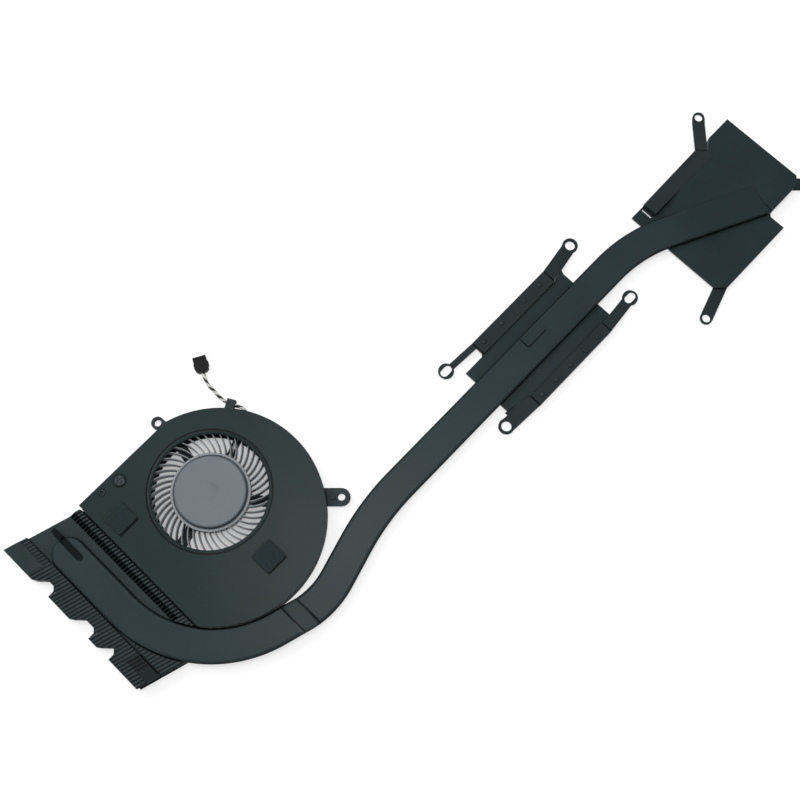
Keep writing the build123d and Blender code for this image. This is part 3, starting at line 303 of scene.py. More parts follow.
def clouded(tree, shader, place, colour, spread, cloud_mm, grit_mm, rough, bump_mm):
    """Uneven depth of colour in clouds, a finer grit in the gloss and a shallow relief."""
    cloud = grain(tree, place, per_mm(cloud_mm), detail=4.0)
    grit = grain(tree, place, per_mm(grit_mm), detail=2.0)
    both = sums(tree, "MULTIPLY_ADD", grit, 0.35, cloud)
    level = ranged(tree, both, 0.42, 0.92)
    tone = blend(tree, level, scaled(colour, 1 - spread), scaled(colour, 1 + spread))
    gloss = ranged(tree, both, 0.4, 0.95, *rough)
    relief = {"Strength": 0.6, "Distance": bump_mm * MM, "Height": grit}
    relief = add(tree, "ShaderNodeBump", relief).outputs["Normal"]
    tree.links.new(tone, shader.inputs["Base Color"])
    tree.links.new(gloss, shader.inputs["Roughness"])
    tree.links.new(relief, shader.inputs["Normal"])
    return tone, relief


def painted_crease_shade(tree, shader, tone, depth_mm, least):
    """Paints shade into the colour in creases narrower than the depth."""
    open_sky = add(tree, "ShaderNodeAmbientOcclusion", {"Distance": depth_mm * MM}, samples=12)
    share = ranged(tree, open_sky.outputs["AO"], 0.4, 0.92, least, 1.0)
    tree.links.new(dimmed(tree, tone, share), shader.inputs["Base Color"])


def dimmed(tree, tone, share):
    """The colour times a share that changes over the surface."""
    return blend(tree, 1.0, tone, share, "MULTIPLY")


def stripe(tree, tone, value, middle_mm, half_mm, least):
    """Darkens the colour where the value is near the middle."""
    off = sums(tree, "ABSOLUTE", sums(tree, "SUBTRACT", value, middle_mm * MM))
    share = ranged(tree, off, 0.6 * half_mm * MM, 1.4 * half_mm * MM, least, 1.0)
    return dimmed(tree, tone, share)


def lip_crease_shade(tree, place, tone):
    """Painted shade in the crease round the dished inlet."""
    flat = add(tree, "ShaderNodeVectorMath", {0: place, 1: (1, 1, 0)}, operation="MULTIPLY")
    reach = add(tree, "ShaderNodeVectorMath", {0: flat.outputs["Vector"]}, operation="LENGTH")
    return stripe(tree, tone, reach.outputs["Value"], LIP_R, half_mm=0.3, least=0.05)


def bend_shade_lines(tree, place, tone):
    """Painted shade lines across the ends of the rails, where the arms bend down."""
    x = add(tree, "ShaderNodeSeparateXYZ", {"Vector": place}).outputs["X"]
    for bend_x in RAIL_BENDS:
        tone = stripe(tree, tone, x, bend_x, half_mm=0.25, least=0.1)
    return tone


def fin_edge_light_and_shade(tree, place, tone):
    """Each fold's edge gets a painted highlight, and painted shade lies beside the next fin. The colour is
    also darker over a block of the last fins."""
    step = FIN_PITCH * MM
    across = {0: place, 1: (FIN_SLOPE / step, -1 / step, 0)}
    across = add(tree, "ShaderNodeVectorMath", across, operation="DOT_PRODUCT").outputs["Value"]
    count = sums(tree, "ADD", across, (FIN_START[1] - FIN_SLOPE * FIN_START[0]) / FIN_PITCH)
    lit_and_shaded = ranged(tree, sums(tree, "FRACT", count), 0.3, 0.45, 1.4, 0.32)
    spot = add(tree, "ShaderNodeSeparateXYZ", {"Vector": place}).outputs
    low, high = FIN_TOPS
    top = sums(tree, "COMPARE", spot["Z"], (low + high) / 2 * MM, (high - low) / 2 * MM)
    tone = dimmed(tree, tone, ranged(tree, top, 0.0, 1.0, 1.0, lit_and_shaded))
    (middle, half), (fin, fins) = FIN_BLOCK
    wide = sums(tree, "COMPARE", spot["X"], middle * MM, half * MM)
    long = sums(tree, "COMPARE", count, fin, fins)
    block = sums(tree, "MULTIPLY", wide, long)
    return dimmed(tree, tone, ranged(tree, block, 0.0, 1.0, 1.0, FIN_BLOCK_TONE))


def known(name):
    """The finish of that name, once it has been made."""
    return bpy.data.materials.get(name)


def electrocoat(name, colour, cloud_mm, rough, crease=(0.6, 0.1), marks=None):
    """Black electrocoat over stamped metal: a satin film with fine orange peel. Its creases get painted
    shade, and marks can paint more light and shade on it.
    Its real peel is about 0.3 mm and is drawn at 0.7 mm, which the picture can show."""
    if known(name):
        return known(name)
    finish, tree, shader, place = start_finish(name, IOR=1.5, Specular_IOR_Level=0.06)
    tone, _ = clouded(
        tree, shader, place, colour, spread=0.12, cloud_mm=cloud_mm, grit_mm=0.7, rough=rough, bump_mm=0.02
    )
    painted_crease_shade(tree, shader, marks(tree, place, tone) if marks else tone, *crease)
    return finish


def plate_finishes(colours):
    """The coats and the bare metal that the two cold plates share: plate, spring and slug."""
    return (
        electrocoat("black_coat_on_stamped_copper", colours.plate, cloud_mm=22.0, rough=(0.3, 0.4)),
        electrocoat(
            "black_coat_on_spring_steel", colours.spring, cloud_mm=12.0, rough=(0.5, 0.6), marks=bend_shade_lines
        ),
        worked_metal("milled_bare_copper", colours.copper, rough=(0.25, 0.4), cloud_mm=4.0),
    )


def drawn_pipe_coat(colour, plate_colour):
    """Black coat over drawn and flattened copper: long faint draw lines show through the satin film.
    The lines are 0.3 mm apart on the metal and are drawn 0.8 mm apart. The film over the far plate is the
    plate's own, so its tone takes over there. Painted shade darkens the crimp's dent, the tool lines across
    the joggle, a rim along each side and the creases, and a painted highlight makes the slope between the
    joggle's lines paler."""
    name = "black_coat_on_drawn_copper"
    if known(name):
        return known(name)
    finish, tree, shader, place = start_finish(name, IOR=1.5, Specular_IOR_Level=0.06)
    film = {"spread": 0.12, "cloud_mm": 26.0, "grit_mm": 0.7, "rough": (0.28, 0.36), "bump_mm": 0.012}
    tone, relief = clouded(tree, shader, place, colour, **film)
    x = add(tree, "ShaderNodeSeparateXYZ", {"Vector": place}).outputs["X"]
    near, far = ((PLATE_X + reach) * MM for reach in PLATE_TONE)
    over = ranged(tree, x, near, far, interpolation_type="SMOOTHSTEP")
    tone = blend(tree, over, tone, plate_colour)
    # painted shade in the dent, the joggle's tool lines and along each side
    painted_shade = add(tree, "ShaderNodeAttribute", attribute_name="pressed").outputs["Fac"]
    tone = blend(tree, painted_shade, tone, scaled(colour, 0.3))
    along = add(tree, "ShaderNodeAttribute", attribute_name="pipe_place").outputs["Vector"]
    slope = add(tree, "ShaderNodeSeparateXYZ", {"Vector": along}).outputs["Z"]
    # painted highlight on the slope between the joggle's lines
    tone = blend(tree, slope, tone, JOGGLE_HIGHLIGHT, "ADD")
    painted_crease_shade(tree, shader, tone, depth_mm=1.3, least=0.12)
    stretch = add(tree, "ShaderNodeMapping", {"Vector": along, "Scale": (per_mm(0.8), per_mm(60.0), 1.0)})
    lines = grain(tree, stretch.outputs["Vector"], 1.0, detail=2.0)
    fine = {"Strength": 0.5, "Distance": 0.02 * MM, "Height": lines, "Normal": relief}
    fine = add(tree, "ShaderNodeBump", fine).outputs["Normal"]
    tree.links.new(fine, shader.inputs["Normal"])
    return finish


def moulded_pbt(name, colour, rough, gloss=0.4, crease=(0.9, 0.25)):
    """Moulded polyester: even colour with faint flow clouds and the fine grain of a spark-eroded tool,
    0.2 mm on the tool and drawn at 0.5 mm."""
    if known(name):
        return known(name)
    finish, tree, shader, place = start_finish(name, IOR=1.57, Specular_IOR_Level=gloss)
    tone, _ = clouded(
        tree, shader, place, colour, spread=0.08, cloud_mm=9.0, grit_mm=0.5, rough=rough, bump_mm=0.015
    )
    # painted shade in the creases
    painted_crease_shade(tree, shader, tone, *crease)
    return finish


def open_foam(name, colour, cell):
    """Cut polyurethane foam: open cells that swallow light, with a soft grey bloom at a glancing angle."""
    if known(name):
        return known(name)
    finish, tree, shader, place = start_finish(
        name, IOR=1.45, Specular_IOR_Level=0.15, Roughness=0.95, Sheen_Weight=0.04, Sheen_Roughness=0.6
    )
    cells = add(tree, "ShaderNodeTexVoronoi", {"Vector": place, "Scale": 1 / cell}, feature="F1")
    cells = cells.outputs["Distance"]
    tone = blend(tree, cells, scaled(colour, 1.25), scaled(colour, 0.6))
    tone = blend(tree, grain(tree, place, per_mm(2.5), detail=3.0), tone, colour)
    pits = {"Strength": 0.8, "Distance": 0.08 * MM, "Height": cells}
    pits = add(tree, "ShaderNodeBump", pits, invert=True).outputs["Normal"]
    tree.links.new(tone, shader.inputs["Base Color"])
    tree.links.new(pits, shader.inputs["Normal"])
    return finish


def extruded_pvc(name, colour):
    """Extruded wire insulation: smooth, slightly waxy, with dull handling marks every few millimetres."""
    if known(name):
        return known(name)
    finish, tree, shader, place = start_finish(name, IOR=1.53, Specular_IOR_Level=0.5)
    clouded(
        tree, shader, place, colour, spread=0.07, cloud_mm=3.0, grit_mm=0.6, rough=(0.3, 0.46), bump_mm=0.006
    )
    return finish


def worked_metal(name, colour, rough, cloud_mm):
    """Plain metal as rolled, turned or sintered: clouds of tarnish and a fine tooth in the gloss."""
    if known(name):
        return known(name)
    finish, tree, shader, place = start_finish(name, Metallic=1.0)
    clouded(
        tree, shader, place, colour, spread=0.12, cloud_mm=cloud_mm, grit_mm=0.5, rough=rough, bump_mm=0.01
    )
    return finish


def dress(node, finish, edge=0.0):
    """Gives a CAD node its finish, and rounds its edges where a width is given."""
    piece = NODES[node]
    piece.data.materials.clear()
    piece.data.materials.append(finish)
    if edge:
        weld = piece.modifiers.new("joined_seams", "WELD")
        weld.merge_threshold = SEAM * MM
        flat = piece.modifiers.new("whole_faces", "DECIMATE")
        flat.decimate_type = "DISSOLVE"
        flat.angle_limit = math.radians(FLAT_ANGLE)
        bevel = piece.modifiers.new("edge_break", "BEVEL")
        bevel.width = edge
        bevel.segments = 2
        bevel.limit_method = "ANGLE"
        bevel.angle_limit = math.radians(EDGE_ANGLE)
        bevel.use_clamp_overlap = True
        flat_faces(piece)
    return piece


def flat_faces(piece):
    """Keeps the shading of large faces flat beside their rounded edges."""
    normals = piece.modifiers.new("flat_faces", "WEIGHTED_NORMAL")
    normals.weight = FLAT_WEIGHT


def new_piece(name, mesh, finish, body, slot, *nodes):
    """A piece from a finished bmesh, riding on a body in place of the CAD nodes."""
    data = bpy.data.meshes.new(name)
    mesh.normal_update()
    mesh.to_mesh(data)
    mesh.free()
    for one in finish if isinstance(finish, (list, tuple)) else [finish]:
        data.materials.append(one)
    piece = bpy.data.objects.new(name, data)
    bpy.context.scene.collection.objects.link(piece)
    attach(piece, body)
    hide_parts(*nodes)
    return piece


def metres(*values):
    """A place in millimetres as a vector in metres."""
    return Vector(values) * MM


def skin(mesh, rings):
    """Quads between rings of points in millimetres, capped at both ends; returns the vertices by ring."""
    rows = [[mesh.verts.new(metres(*p)) for p in ring] for ring in rings]
    count = len(rows[0])
    for low, high in zip(rows, rows[1:]):
        for i in range(count):
            j = (i + 1) % count
            mesh.faces.new((low[i], low[j], high[j], high[i])).smooth = True
    mesh.faces.new(list(reversed(rows[0]))).smooth = False
    mesh.faces.new(rows[-1]).smooth = False
    return rows


def turned(mesh, profile, x, y, sides):
    """A profile of radius and height turned about an upright axis; a zero radius closes it."""
    rows = []
    for r, z in profile:
        if r == 0:
            rows.append([mesh.verts.new(metres(x, y, z))])
            continue
        turns = [2 * math.pi * i / sides for i in range(sides)]
        rows.append([mesh.verts.new(metres(x + r * math.cos(t), y + r * math.sin(t), z)) for t in turns])
    for low, high in zip(rows, rows[1:]):
        for i in range(sides):
            j = (i + 1) % sides
            corners = [low[i % len(low)], low[j % len(low)], high[j % len(high)], high[i % len(high)]]
            mesh.faces.new(list(dict.fromkeys(corners))).smooth = True


def quarter(r_edge, z_edge, radius, steps):
    """Profile points that round an outer top edge, from its side to its top."""
    angles = [math.pi / 2 * i / steps for i in range(steps + 1)]
    r, z = r_edge - radius, z_edge - radius
    return [(r + radius * math.cos(a), z + radius * math.sin(a)) for a in angles]


def smooth_step(low, high, value):
    """A share that eases from 0 at low to 1 at high."""
    t = min(1, max(0, (value - low) / (high - low)))
    return t * t * (3 - 2 * t)


def rounded_route(corners, radii, step):
    """Points and headings along straight runs joined by arcs, about one step apart."""
    places = [Vector(c) for c in corners]
    runs = [(b - a).normalized() for a, b in zip(places, places[1:])]
    stations = []
    start = places[0]
    for i, run in enumerate(runs):
        end, turn = places[i + 1], 0.0
        if i < len(radii):
            turn = run.angle_signed(runs[i + 1])
            end = places[i + 1] - run * radii[i] * math.tan(abs(turn) / 2)
        count = max(1, round((end - start).length / step))
        stations += [(start.lerp(end, k / count), run) for k in range(count)]
        start = end
        if turn:
            side = 1 if run.cross(runs[i + 1]) > 0 else -1
            normal = Vector((-run.y, run.x)) * side
            centre = end + normal * radii[i]
            count = max(2, round(radii[i] * abs(turn) / step))
            for k in range(count):
                angle = abs(turn) * k / count
                heading = run * math.cos(angle) + normal * math.sin(angle)
                outward = run * math.sin(angle) - normal * math.cos(angle)
                stations.append((centre + outward * radii[i], heading))
            start = centre + (run * math.sin(abs(turn)) - normal * math.cos(abs(turn))) * radii[i]
    stations.append((places[-1], runs[-1]))
    return stations


class COOLER_OT_stage(bpy.types.Operator):
    """Camera, pale floor, far backdrop, soft lights and grey surroundings"""

    bl_idname = "cooler.stage"
    bl_label = "Studio Stage"

    def execute(self, context):
        scene = context.scene
        scene.view_settings.view_transform = "Standard"
        lens = bpy.data.cameras.new("camera")
        lens.lens = LENS
        lens.sensor_width = SENSOR
        lens.sensor_fit = "HORIZONTAL"
        lens.clip_start, lens.clip_end = (reach * MM for reach in CLIP)
        scene.camera = self.aimed(scene, "camera", lens, EYE)
        self.floor(scene)
        self.backdrop(scene)
        self.lights(scene)
        self.surroundings(scene)
        return {"FINISHED"}

    def aimed(self, scene, name, data, place):
        """A camera or lamp at that place, turned to the aim."""
        item = bpy.data.objects.new(name, data)
        item.location = metres(*place)
        item.rotation_euler = (metres(*AIM) - metres(*place)).to_track_quat("-Z", "Y").to_euler()
        scene.collection.objects.link(item)
        return item

    def sheet(self, scene, name, mesh, place, finish):
        """A surface of the stage from a finished bmesh; returns the empty tree of its paper."""
        data = bpy.data.meshes.new(name)
        mesh.to_mesh(data)
        mesh.free()
        surface = bpy.data.objects.new(name, data)
        surface.location = metres(*place)
        scene.collection.objects.link(surface)
        paper, tree = empty_finish(finish)
        data.materials.append(paper)
        return tree

    def seen(self, tree):
        """1 on rays from the camera, mirrors and glass."""
        path = add(tree, "ShaderNodeLightPath").outputs
        either = sums(tree, "MAXIMUM", path["Is Camera Ray"], path["Is Glossy Ray"])
        return sums(tree, "MAXIMUM", either, path["Is Transmission Ray"])

    def floor(self, scene):
        """Matt paper that glows to white where it is seen, with a painted shadow in its glow under the
        blower's inlet.
        """
        mesh = bmesh.new()
        bmesh.ops.create_grid(mesh, x_segments=8, y_segments=8, size=FLOOR_HALF * MM)
        tree = self.sheet(scene, "studio_floor", mesh, (*AIM[:2], FLOOR_Z), "matt_white_paper")
        matt = add(tree, "ShaderNodeBsdfDiffuse", {"Color": scaled(scene.cooler_colours.floor, PAPER_SHADE)})
        spot = add(tree, "ShaderNodeNewGeometry").outputs["Position"]
        off = add(tree, "ShaderNodeVectorMath", {0: spot}, operation="LENGTH").outputs["Value"]
        near, far = INLET_RING
        # painted shadow: the glow is dimmer under the blower's inlet
        glow = ranged(tree, off, near * MM, far * MM, INLET_SHADOW_GLOW, FLOOR_GLOW)
        glow = sums(tree, "MULTIPLY", self.seen(tree), glow)
        light = add(tree, "ShaderNodeEmission", {"Strength": glow})
        both = add(tree, "ShaderNodeAddShader", {0: matt.outputs["BSDF"], 1: light.outputs["Emission"]})
        add(tree, "ShaderNodeOutputMaterial", {"Surface": both.outputs["Shader"]})

    def backdrop(self, scene):
        """Pale paper that rises far round the floor. It only shows: light passes through it."""
        mesh = bmesh.new()
        turned(mesh, BACKDROP, 0, 0, sides=64)
        tree = self.sheet(scene, "studio_backdrop", mesh, (0, 0, 0), "far_white_paper")
        light = add(tree, "ShaderNodeEmission", {"Strength": BACKDROP_GLOW})
        clear = add(tree, "ShaderNodeBsdfTransparent")
        both = {0: self.seen(tree), 1: clear.outputs["BSDF"], 2: light.outputs["Emission"]}
        both = add(tree, "ShaderNodeMixShader", both)
        add(tree, "ShaderNodeOutputMaterial", {"Surface": both.outputs["Shader"]})

    def lights(self, scene):
        for name, place, width, share in SOFTBOXES:
            lamp = bpy.data.lights.new(name, "AREA")
            lamp.shape = "DISK"
            lamp.size = width * MM
            lamp.energy = share * scene.cooler_sizes.light
            self.aimed(scene, name, lamp, place)

    def surroundings(self, scene):
        world = bpy.data.worlds.new("grey_studio")
        scene.world = world
        world.use_nodes = True
        tree = world.node_tree
        tree.nodes.clear()
        sky = add(tree, "ShaderNodeBackground", {"Color": (1, 1, 1, 1), "Strength": SKY_LEVEL})
        add(tree, "ShaderNodeOutputWorld", {"Surface": sky.outputs["Background"]})


class COOLER_OT_lead(bpy.types.Operator):
    """Twisted lead from the motor to its plug"""

    bl_idname = "cooler.lead"
    bl_label = "Lead and Plug"

    def execute(self, context):
        colours, sizes = chosen(context)
        line = self.middle_line()
        mesh = bmesh.new()
        orbit = (LEAD_D * MM - sizes.wire) / 2
        along = [0.0]
        for a, b in zip(line, line[1:]):
            along.append(along[-1] + (b - a).length)
        for w in range(WIRES):
            first = len(mesh.faces)
            rings = []
            for i, point in enumerate(line):
                before, after = line[max(0, i - 1)], line[min(len(line) - 1, i + 1)]
                heading = (after - before).normalized()
                side = Vector((heading.y, -heading.x, 0)).normalized()
                up = side.cross(heading)
                turn = along[i] / sizes.lead_pitch + w / WIRES
                core = point + self.out(side, up, turn) * orbit
                spread = [self.out(side, up, k / WIRE_SIDES) * sizes.wire / 2 for k in range(WIRE_SIDES)]
                rings.append([(core + offset) / MM for offset in spread])
            skin(mesh, rings)
            mesh.faces.ensure_lookup_table()
            for face in mesh.faces[first:]:
                face.material_index = w // 2
        dark = extruded_pvc("dark_extruded_pvc", colours.dark_wire)
        pale = extruded_pvc("pale_extruded_pvc", colours.pale_wire)
        lead = new_piece("twisted_lead", mesh, (dark, pale), "module", "pvc_insulation", "fan_lead")
        nylon = moulded_pbt("moulded_black_nylon", colours.plug, rough=(0.25, 0.4), gloss=0.08)
        plug = dress("plug_housing", nylon, PLUG_EDGE * MM)
        tin = worked_metal("tinned_phosphor_bronze", linear("#c9c6bd"), rough=(0.25, 0.4), cloud_mm=2.0)
        contacts = dress("plug_contacts", tin)
        return {"FINISHED"}

    def out(self, side, up, turns):
        """Direction across the lead after that many turns."""
        angle = 2 * math.pi * turns
        return side * math.cos(angle) + up * math.sin(angle)

    def middle_line(self):
        """Points along the lead's smooth line, read from its spline."""
        curve = bpy.data.curves.new("lead_line", "CURVE")
        curve.dimensions = "3D"
        curve.resolution_u = 24
        spline = curve.splines.new("NURBS")
        spline.points.add(len(LEAD_POINTS) - 1)
        for point, (x, y) in zip(spline.points, LEAD_POINTS):
            point.co = (*metres(x, y, LEAD_Z), 1.0)
        spline.order_u = 3
        spline.use_endpoint_u = True
        route = bpy.data.objects.new("lead_line", curve)
        data = bpy.data.meshes.new_from_object(route)
        line = [v.co.copy() for v in data.vertices]
        bpy.data.meshes.remove(data)
        bpy.data.curves.remove(curve)
        return line


class COOLER_OT_case(bpy.types.Operator):
    """Moulded case and coated sheet cover of the blower"""

    bl_idname = "cooler.case"
    bl_label = "Case and Cover"

    def execute(self, context):
        colours, sizes = chosen(context)
        case = moulded_pbt("moulded_black_pbt", colours.case, rough=(0.6, 0.75), gloss=0.06)
        dress("fan_base", case, sizes.edge_break)
        sheet = electrocoat(
            "black_electrocoat_on_steel_sheet",
            colours.cover,
            cloud_mm=18.0,
            rough=(0.27, 0.34),
            crease=(0.35, 0.15),
            marks=lip_crease_shade,
        )
        dress("fan_cover", sheet, sizes.edge_break)
        return {"FINISHED"}


class COOLER_OT_screw(bpy.types.Operator):
    """Cover screw with a cross recess"""

    bl_idname = "cooler.screw"
    bl_label = "Cover Screw"

    def execute(self, context):
        x, y = SCREW
        mesh = bmesh.new()
        sides, rings = 64, 20
        profile = [(0, SCREW_LOW), (SCREW_SHANK_R - 0.2, SCREW_LOW), (SCREW_SHANK_R, SCREW_LOW + 0.2)]
        profile += [(SCREW_SHANK_R, SCREW_SEAT), (SCREW_R - 0.1, SCREW_SEAT), (SCREW_R, SCREW_SEAT + 0.1)]
        profile += quarter(SCREW_R, SCREW_TOP, SCREW_ROUND, steps=5)
        flat = SCREW_R - SCREW_ROUND
        profile += [(flat * (1 - k / rings), SCREW_TOP) for k in range(1, rings)] + [(0, SCREW_TOP)]
        turned(mesh, profile, x, y, sides)
        for vertex in mesh.verts:
            dx, dy = abs(vertex.co.x / MM - x), abs(vertex.co.y / MM - y)
            on_top = vertex.co.z / MM > SCREW_TOP - 0.01
            if on_top and min(dx, dy) < CROSS_HALF and max(dx, dy) < CROSS_REACH:
                vertex.co.z -= CROSS_D * MM
        steel = worked_metal("black_zinc_plated_steel", linear("#2b3033"), rough=(0.25, 0.42), cloud_mm=1.5)
        new_piece("cover_screw_head", mesh, steel, "module", "zinc_plated_steel", "cover_screw")
        return {"FINISHED"}


class COOLER_OT_pads(bpy.types.Operator):
    """Foam pads stuck on the cover and on the pipe"""

    bl_idname = "cooler.pads"
    bl_label = "Foam Pads"

    def execute(self, context):
        colours, sizes = chosen(context)
        mesh = bmesh.new()
        for pad in PADS:
            self.pad(mesh, *pad)
        foam = open_foam("cut_polyurethane_foam", colours.foam, sizes.foam_cell)
        # a darker copy of the foam, as painted shade on the side away from the light
        cut = open_foam("painted_shade_on_foam_side", scaled(colours.foam, 0.15), sizes.foam_cell)
        thin = open_foam("thin_cut_foam", colours.pipe, sizes.foam_cell)
        foams = (foam, cut, thin)
        pads = new_piece("foam_pads", mesh, foams, "module", "black_foam", "cover_pads", "pipe_pad")
        return {"FINISHED"}

    def pad(self, mesh, x, y, long, wide, low, thick):
        """A die-cut pad: sides pinched a little at half height, soft top edge, cells broken open on top."""
        rings = []
        for inset, height in PAD_SIDES:
            edge = self.outline(x, y, long, wide, inset)
            rings.append([(px, py, low + thick * height) for px, py in edge])
        for k in range(1, PAD_RINGS):
            share = 1 - k / PAD_RINGS
            ring = []
            for px, py in self.outline(x, y, long, wide, PAD_INSET):
                px, py = x + (px - x) * share, y + (py - y) * share
                pit = noise.noise(Vector((px, py, 0)) / PAD_PIT)
                ring.append((px, py, low + thick * (PAD_TOP + PAD_PIT_D * pit)))
            rings.append(ring)
        first = len(mesh.faces)
        skin(mesh, rings)
        mesh.faces.ensure_lookup_table()
        on_pipe = low < SCREW_SEAT
        for face in mesh.faces[first:]:
            middle = face.calc_center_median() / MM
            # faces near the -y side, and on the pipe's pad near the -x side too, take painted shade
            cut = middle.y - (y - wide / 2) < PAD_SHADE_W or (on_pipe and middle.x - (x - long / 2) < PAD_SHADE_W)
            face.material_index = 1 if cut else 2 * on_pipe

    def outline(self, x, y, long, wide, inset):
        """Points round a pad with rounded corners."""
        radius = PAD_CORNER_R
        points = []
        for quadrant, (sx, sy) in enumerate(((1, 1), (-1, 1), (-1, -1), (1, -1))):
            cx = x + sx * (long / 2 - radius - inset)
            cy = y + sy * (wide / 2 - radius - inset)
            for k in range(5):
                angle = math.pi / 2 * (quadrant + k / 4)
                points.append((cx + radius * math.cos(angle), cy + radius * math.sin(angle)))
        dense = []
        for a, b in zip(points, points[1:] + points[:1]):
            count = 14 if math.dist(a, b) > radius else 1
            dx, dy = b[0] - a[0], b[1] - a[1]
            dense += [(a[0] + dx * i / count, a[1] + dy * i / count) for i in range(count)]
        return dense


class COOLER_OT_impeller(bpy.types.Operator):
    """Impeller with its hub cap and swept blades"""

    bl_idname = "cooler.impeller"
    bl_label = "Impeller"

    def execute(self, context):
        colours, sizes = chosen(context)
        mesh = bmesh.new()
        floor = BLADE_HIGH - GROOVE_D
        dent = HUB_TOP - DIMPLE_D
        profile = [(HUB_INNER_R, BLADE_LOW), (SKIRT_R, BLADE_LOW)]
        profile += quarter(SKIRT_R, BLADE_HIGH, SKIRT_ROUND, steps=4)
        profile += [(HUB_R + 0.4, BLADE_HIGH), (HUB_R + 0.3, floor), (HUB_R, floor)]
        profile += quarter(HUB_R, HUB_TOP, HUB_ROUND, steps=6)
        profile += [(r, HUB_TOP) for r in (10.4, 9.0, 6.0, DIMPLE_R + 1.0)]
        profile += [(DIMPLE_R + 0.4, HUB_TOP - DIMPLE_D / 2), (DIMPLE_R, dent), (0, dent)]
        turned(mesh, profile, 0, 0, WHEEL_SIDES)
        inside = [(0, HUB_ROOF), (HUB_INNER_R, HUB_ROOF), (HUB_INNER_R, BLADE_LOW)]
        turned(mesh, inside, 0, 0, WHEEL_SIDES)
        bmesh.ops.remove_doubles(mesh, verts=mesh.verts, dist=SEAM * MM)
        for i in range(BLADES):
            self.blade(mesh, 360 * i / BLADES, sizes.blade_steps)
        bmesh.ops.recalc_face_normals(mesh, faces=mesh.faces)
        for face in mesh.faces:
            middle = face.calc_center_median() / MM
            face.material_index = int(middle.xy.length < HUB_R and middle.z > BLADE_HIGH)
        grey = moulded_pbt("moulded_grey_glass_filled_pbt", colours.wheel, rough=(0.4, 0.55), gloss=0.3)
        cap = moulded_pbt("moulded_grey_hub_cap", colours.hub, rough=(0.4, 0.5), gloss=0.3)
        wheel = new_piece("blade_wheel", mesh, (grey, cap), "rotor", "grey_moulded_blades", "impeller")
        flat_faces(wheel)
        return {"FINISHED"}

    def blade(self, mesh, turn, steps):
        """One blade that leans further back the further out it goes, its upper edges rounded."""
        root, soft = SKIRT_R - BLADE_ROOT, BLADE_ROUND
        rings = []
        for i in range(steps + 1):
            out = i / steps
            r = root + (IMPELLER_R - root) * out
            lean = turn + BLADE_SWEEP * out**BLADE_CURL
            ease = math.degrees(soft / r)
            outline = (
                (0, BLADE_LOW),
                (0, BLADE_HIGH - soft),
                (ease, BLADE_HIGH),
                (BLADE_ARC - ease, BLADE_HIGH),
                (BLADE_ARC, BLADE_HIGH - soft),
                (BLADE_ARC, BLADE_LOW),
            )
            ring = []
            for shift, z in outline:
                angle = math.radians(lean + shift)
                ring.append((r * math.cos(angle), r * math.sin(angle), z))
            rings.append(ring)
        skin(mesh, rings)


class COOLER_OT_motor(bpy.types.Operator):
    """Motor parts under the hub"""

    bl_idname = "cooler.motor"
    bl_label = "Motor"

    def execute(self, context):
        colours = context.scene.cooler_colours
        metals = (
            ("rotor_yoke", "pressed_steel", "drawn_steel_cup", "#8d9194", (0.3, 0.45), 6.0),
            ("shaft", "hardened_steel", "ground_hardened_steel", "#b4b7b9", (0.15, 0.25), 3.0),
            ("bearing_sleeve", "sintered_bronze", "sintered_bronze", "#9b7a4b", (0.5, 0.7), 0.8),
            ("bearing_holder", "turned_brass", "turned_brass", "#c2a35a", (0.22, 0.34), 4.0),
            ("stator_core", "laminated_steel", "stacked_silicon_steel", "#6c7074", (0.4, 0.55), 2.0),
        )
        for node, slot, name, code, rough, cloud_mm in metals:
            dress(node, worked_metal(name, linear(code), rough, cloud_mm))
        windings = worked_metal("enamelled_copper_wire", colours.copper, rough=(0.25, 0.4), cloud_mm=0.7)
        dress("stator_coils", windings, COIL_EDGE * MM)
        mouldings = (
            ("magnet_ring", "bonded_ferrite", "bonded_ferrite", "#2b2a2c", (0.55, 0.7)),
            ("thrust_pad", "bearing_polymer", "bearing_acetal", "#dcdad2", (0.3, 0.45)),
            ("motor_board", "green_laminate", "green_glass_laminate", "#1e4a34", (0.28, 0.42)),
        )
        for node, slot, name, code, rough in mouldings:
            dress(node, moulded_pbt(name, linear(code), rough))
        return {"FINISHED"}


class COOLER_OT_fins(bpy.types.Operator):
    """Stack of folded fins"""

    bl_idname = "cooler.fins"
    bl_label = "Fin Stack"

    def execute(self, context):
        colours, sizes = chosen(context)
        coat = electrocoat(
            "black_coat_on_folded_copper_fins",
            colours.fins,
            cloud_mm=6.0,
            rough=(0.35, 0.45),
            crease=(0.6, 0.8),
            marks=fin_edge_light_and_shade,
        )
        fins = dress("fin_stack", coat)
        solder = fins.modifiers.new("soldered_seams", "WELD")
        solder.merge_threshold = sizes.fin_seam
        return {"FINISHED"}


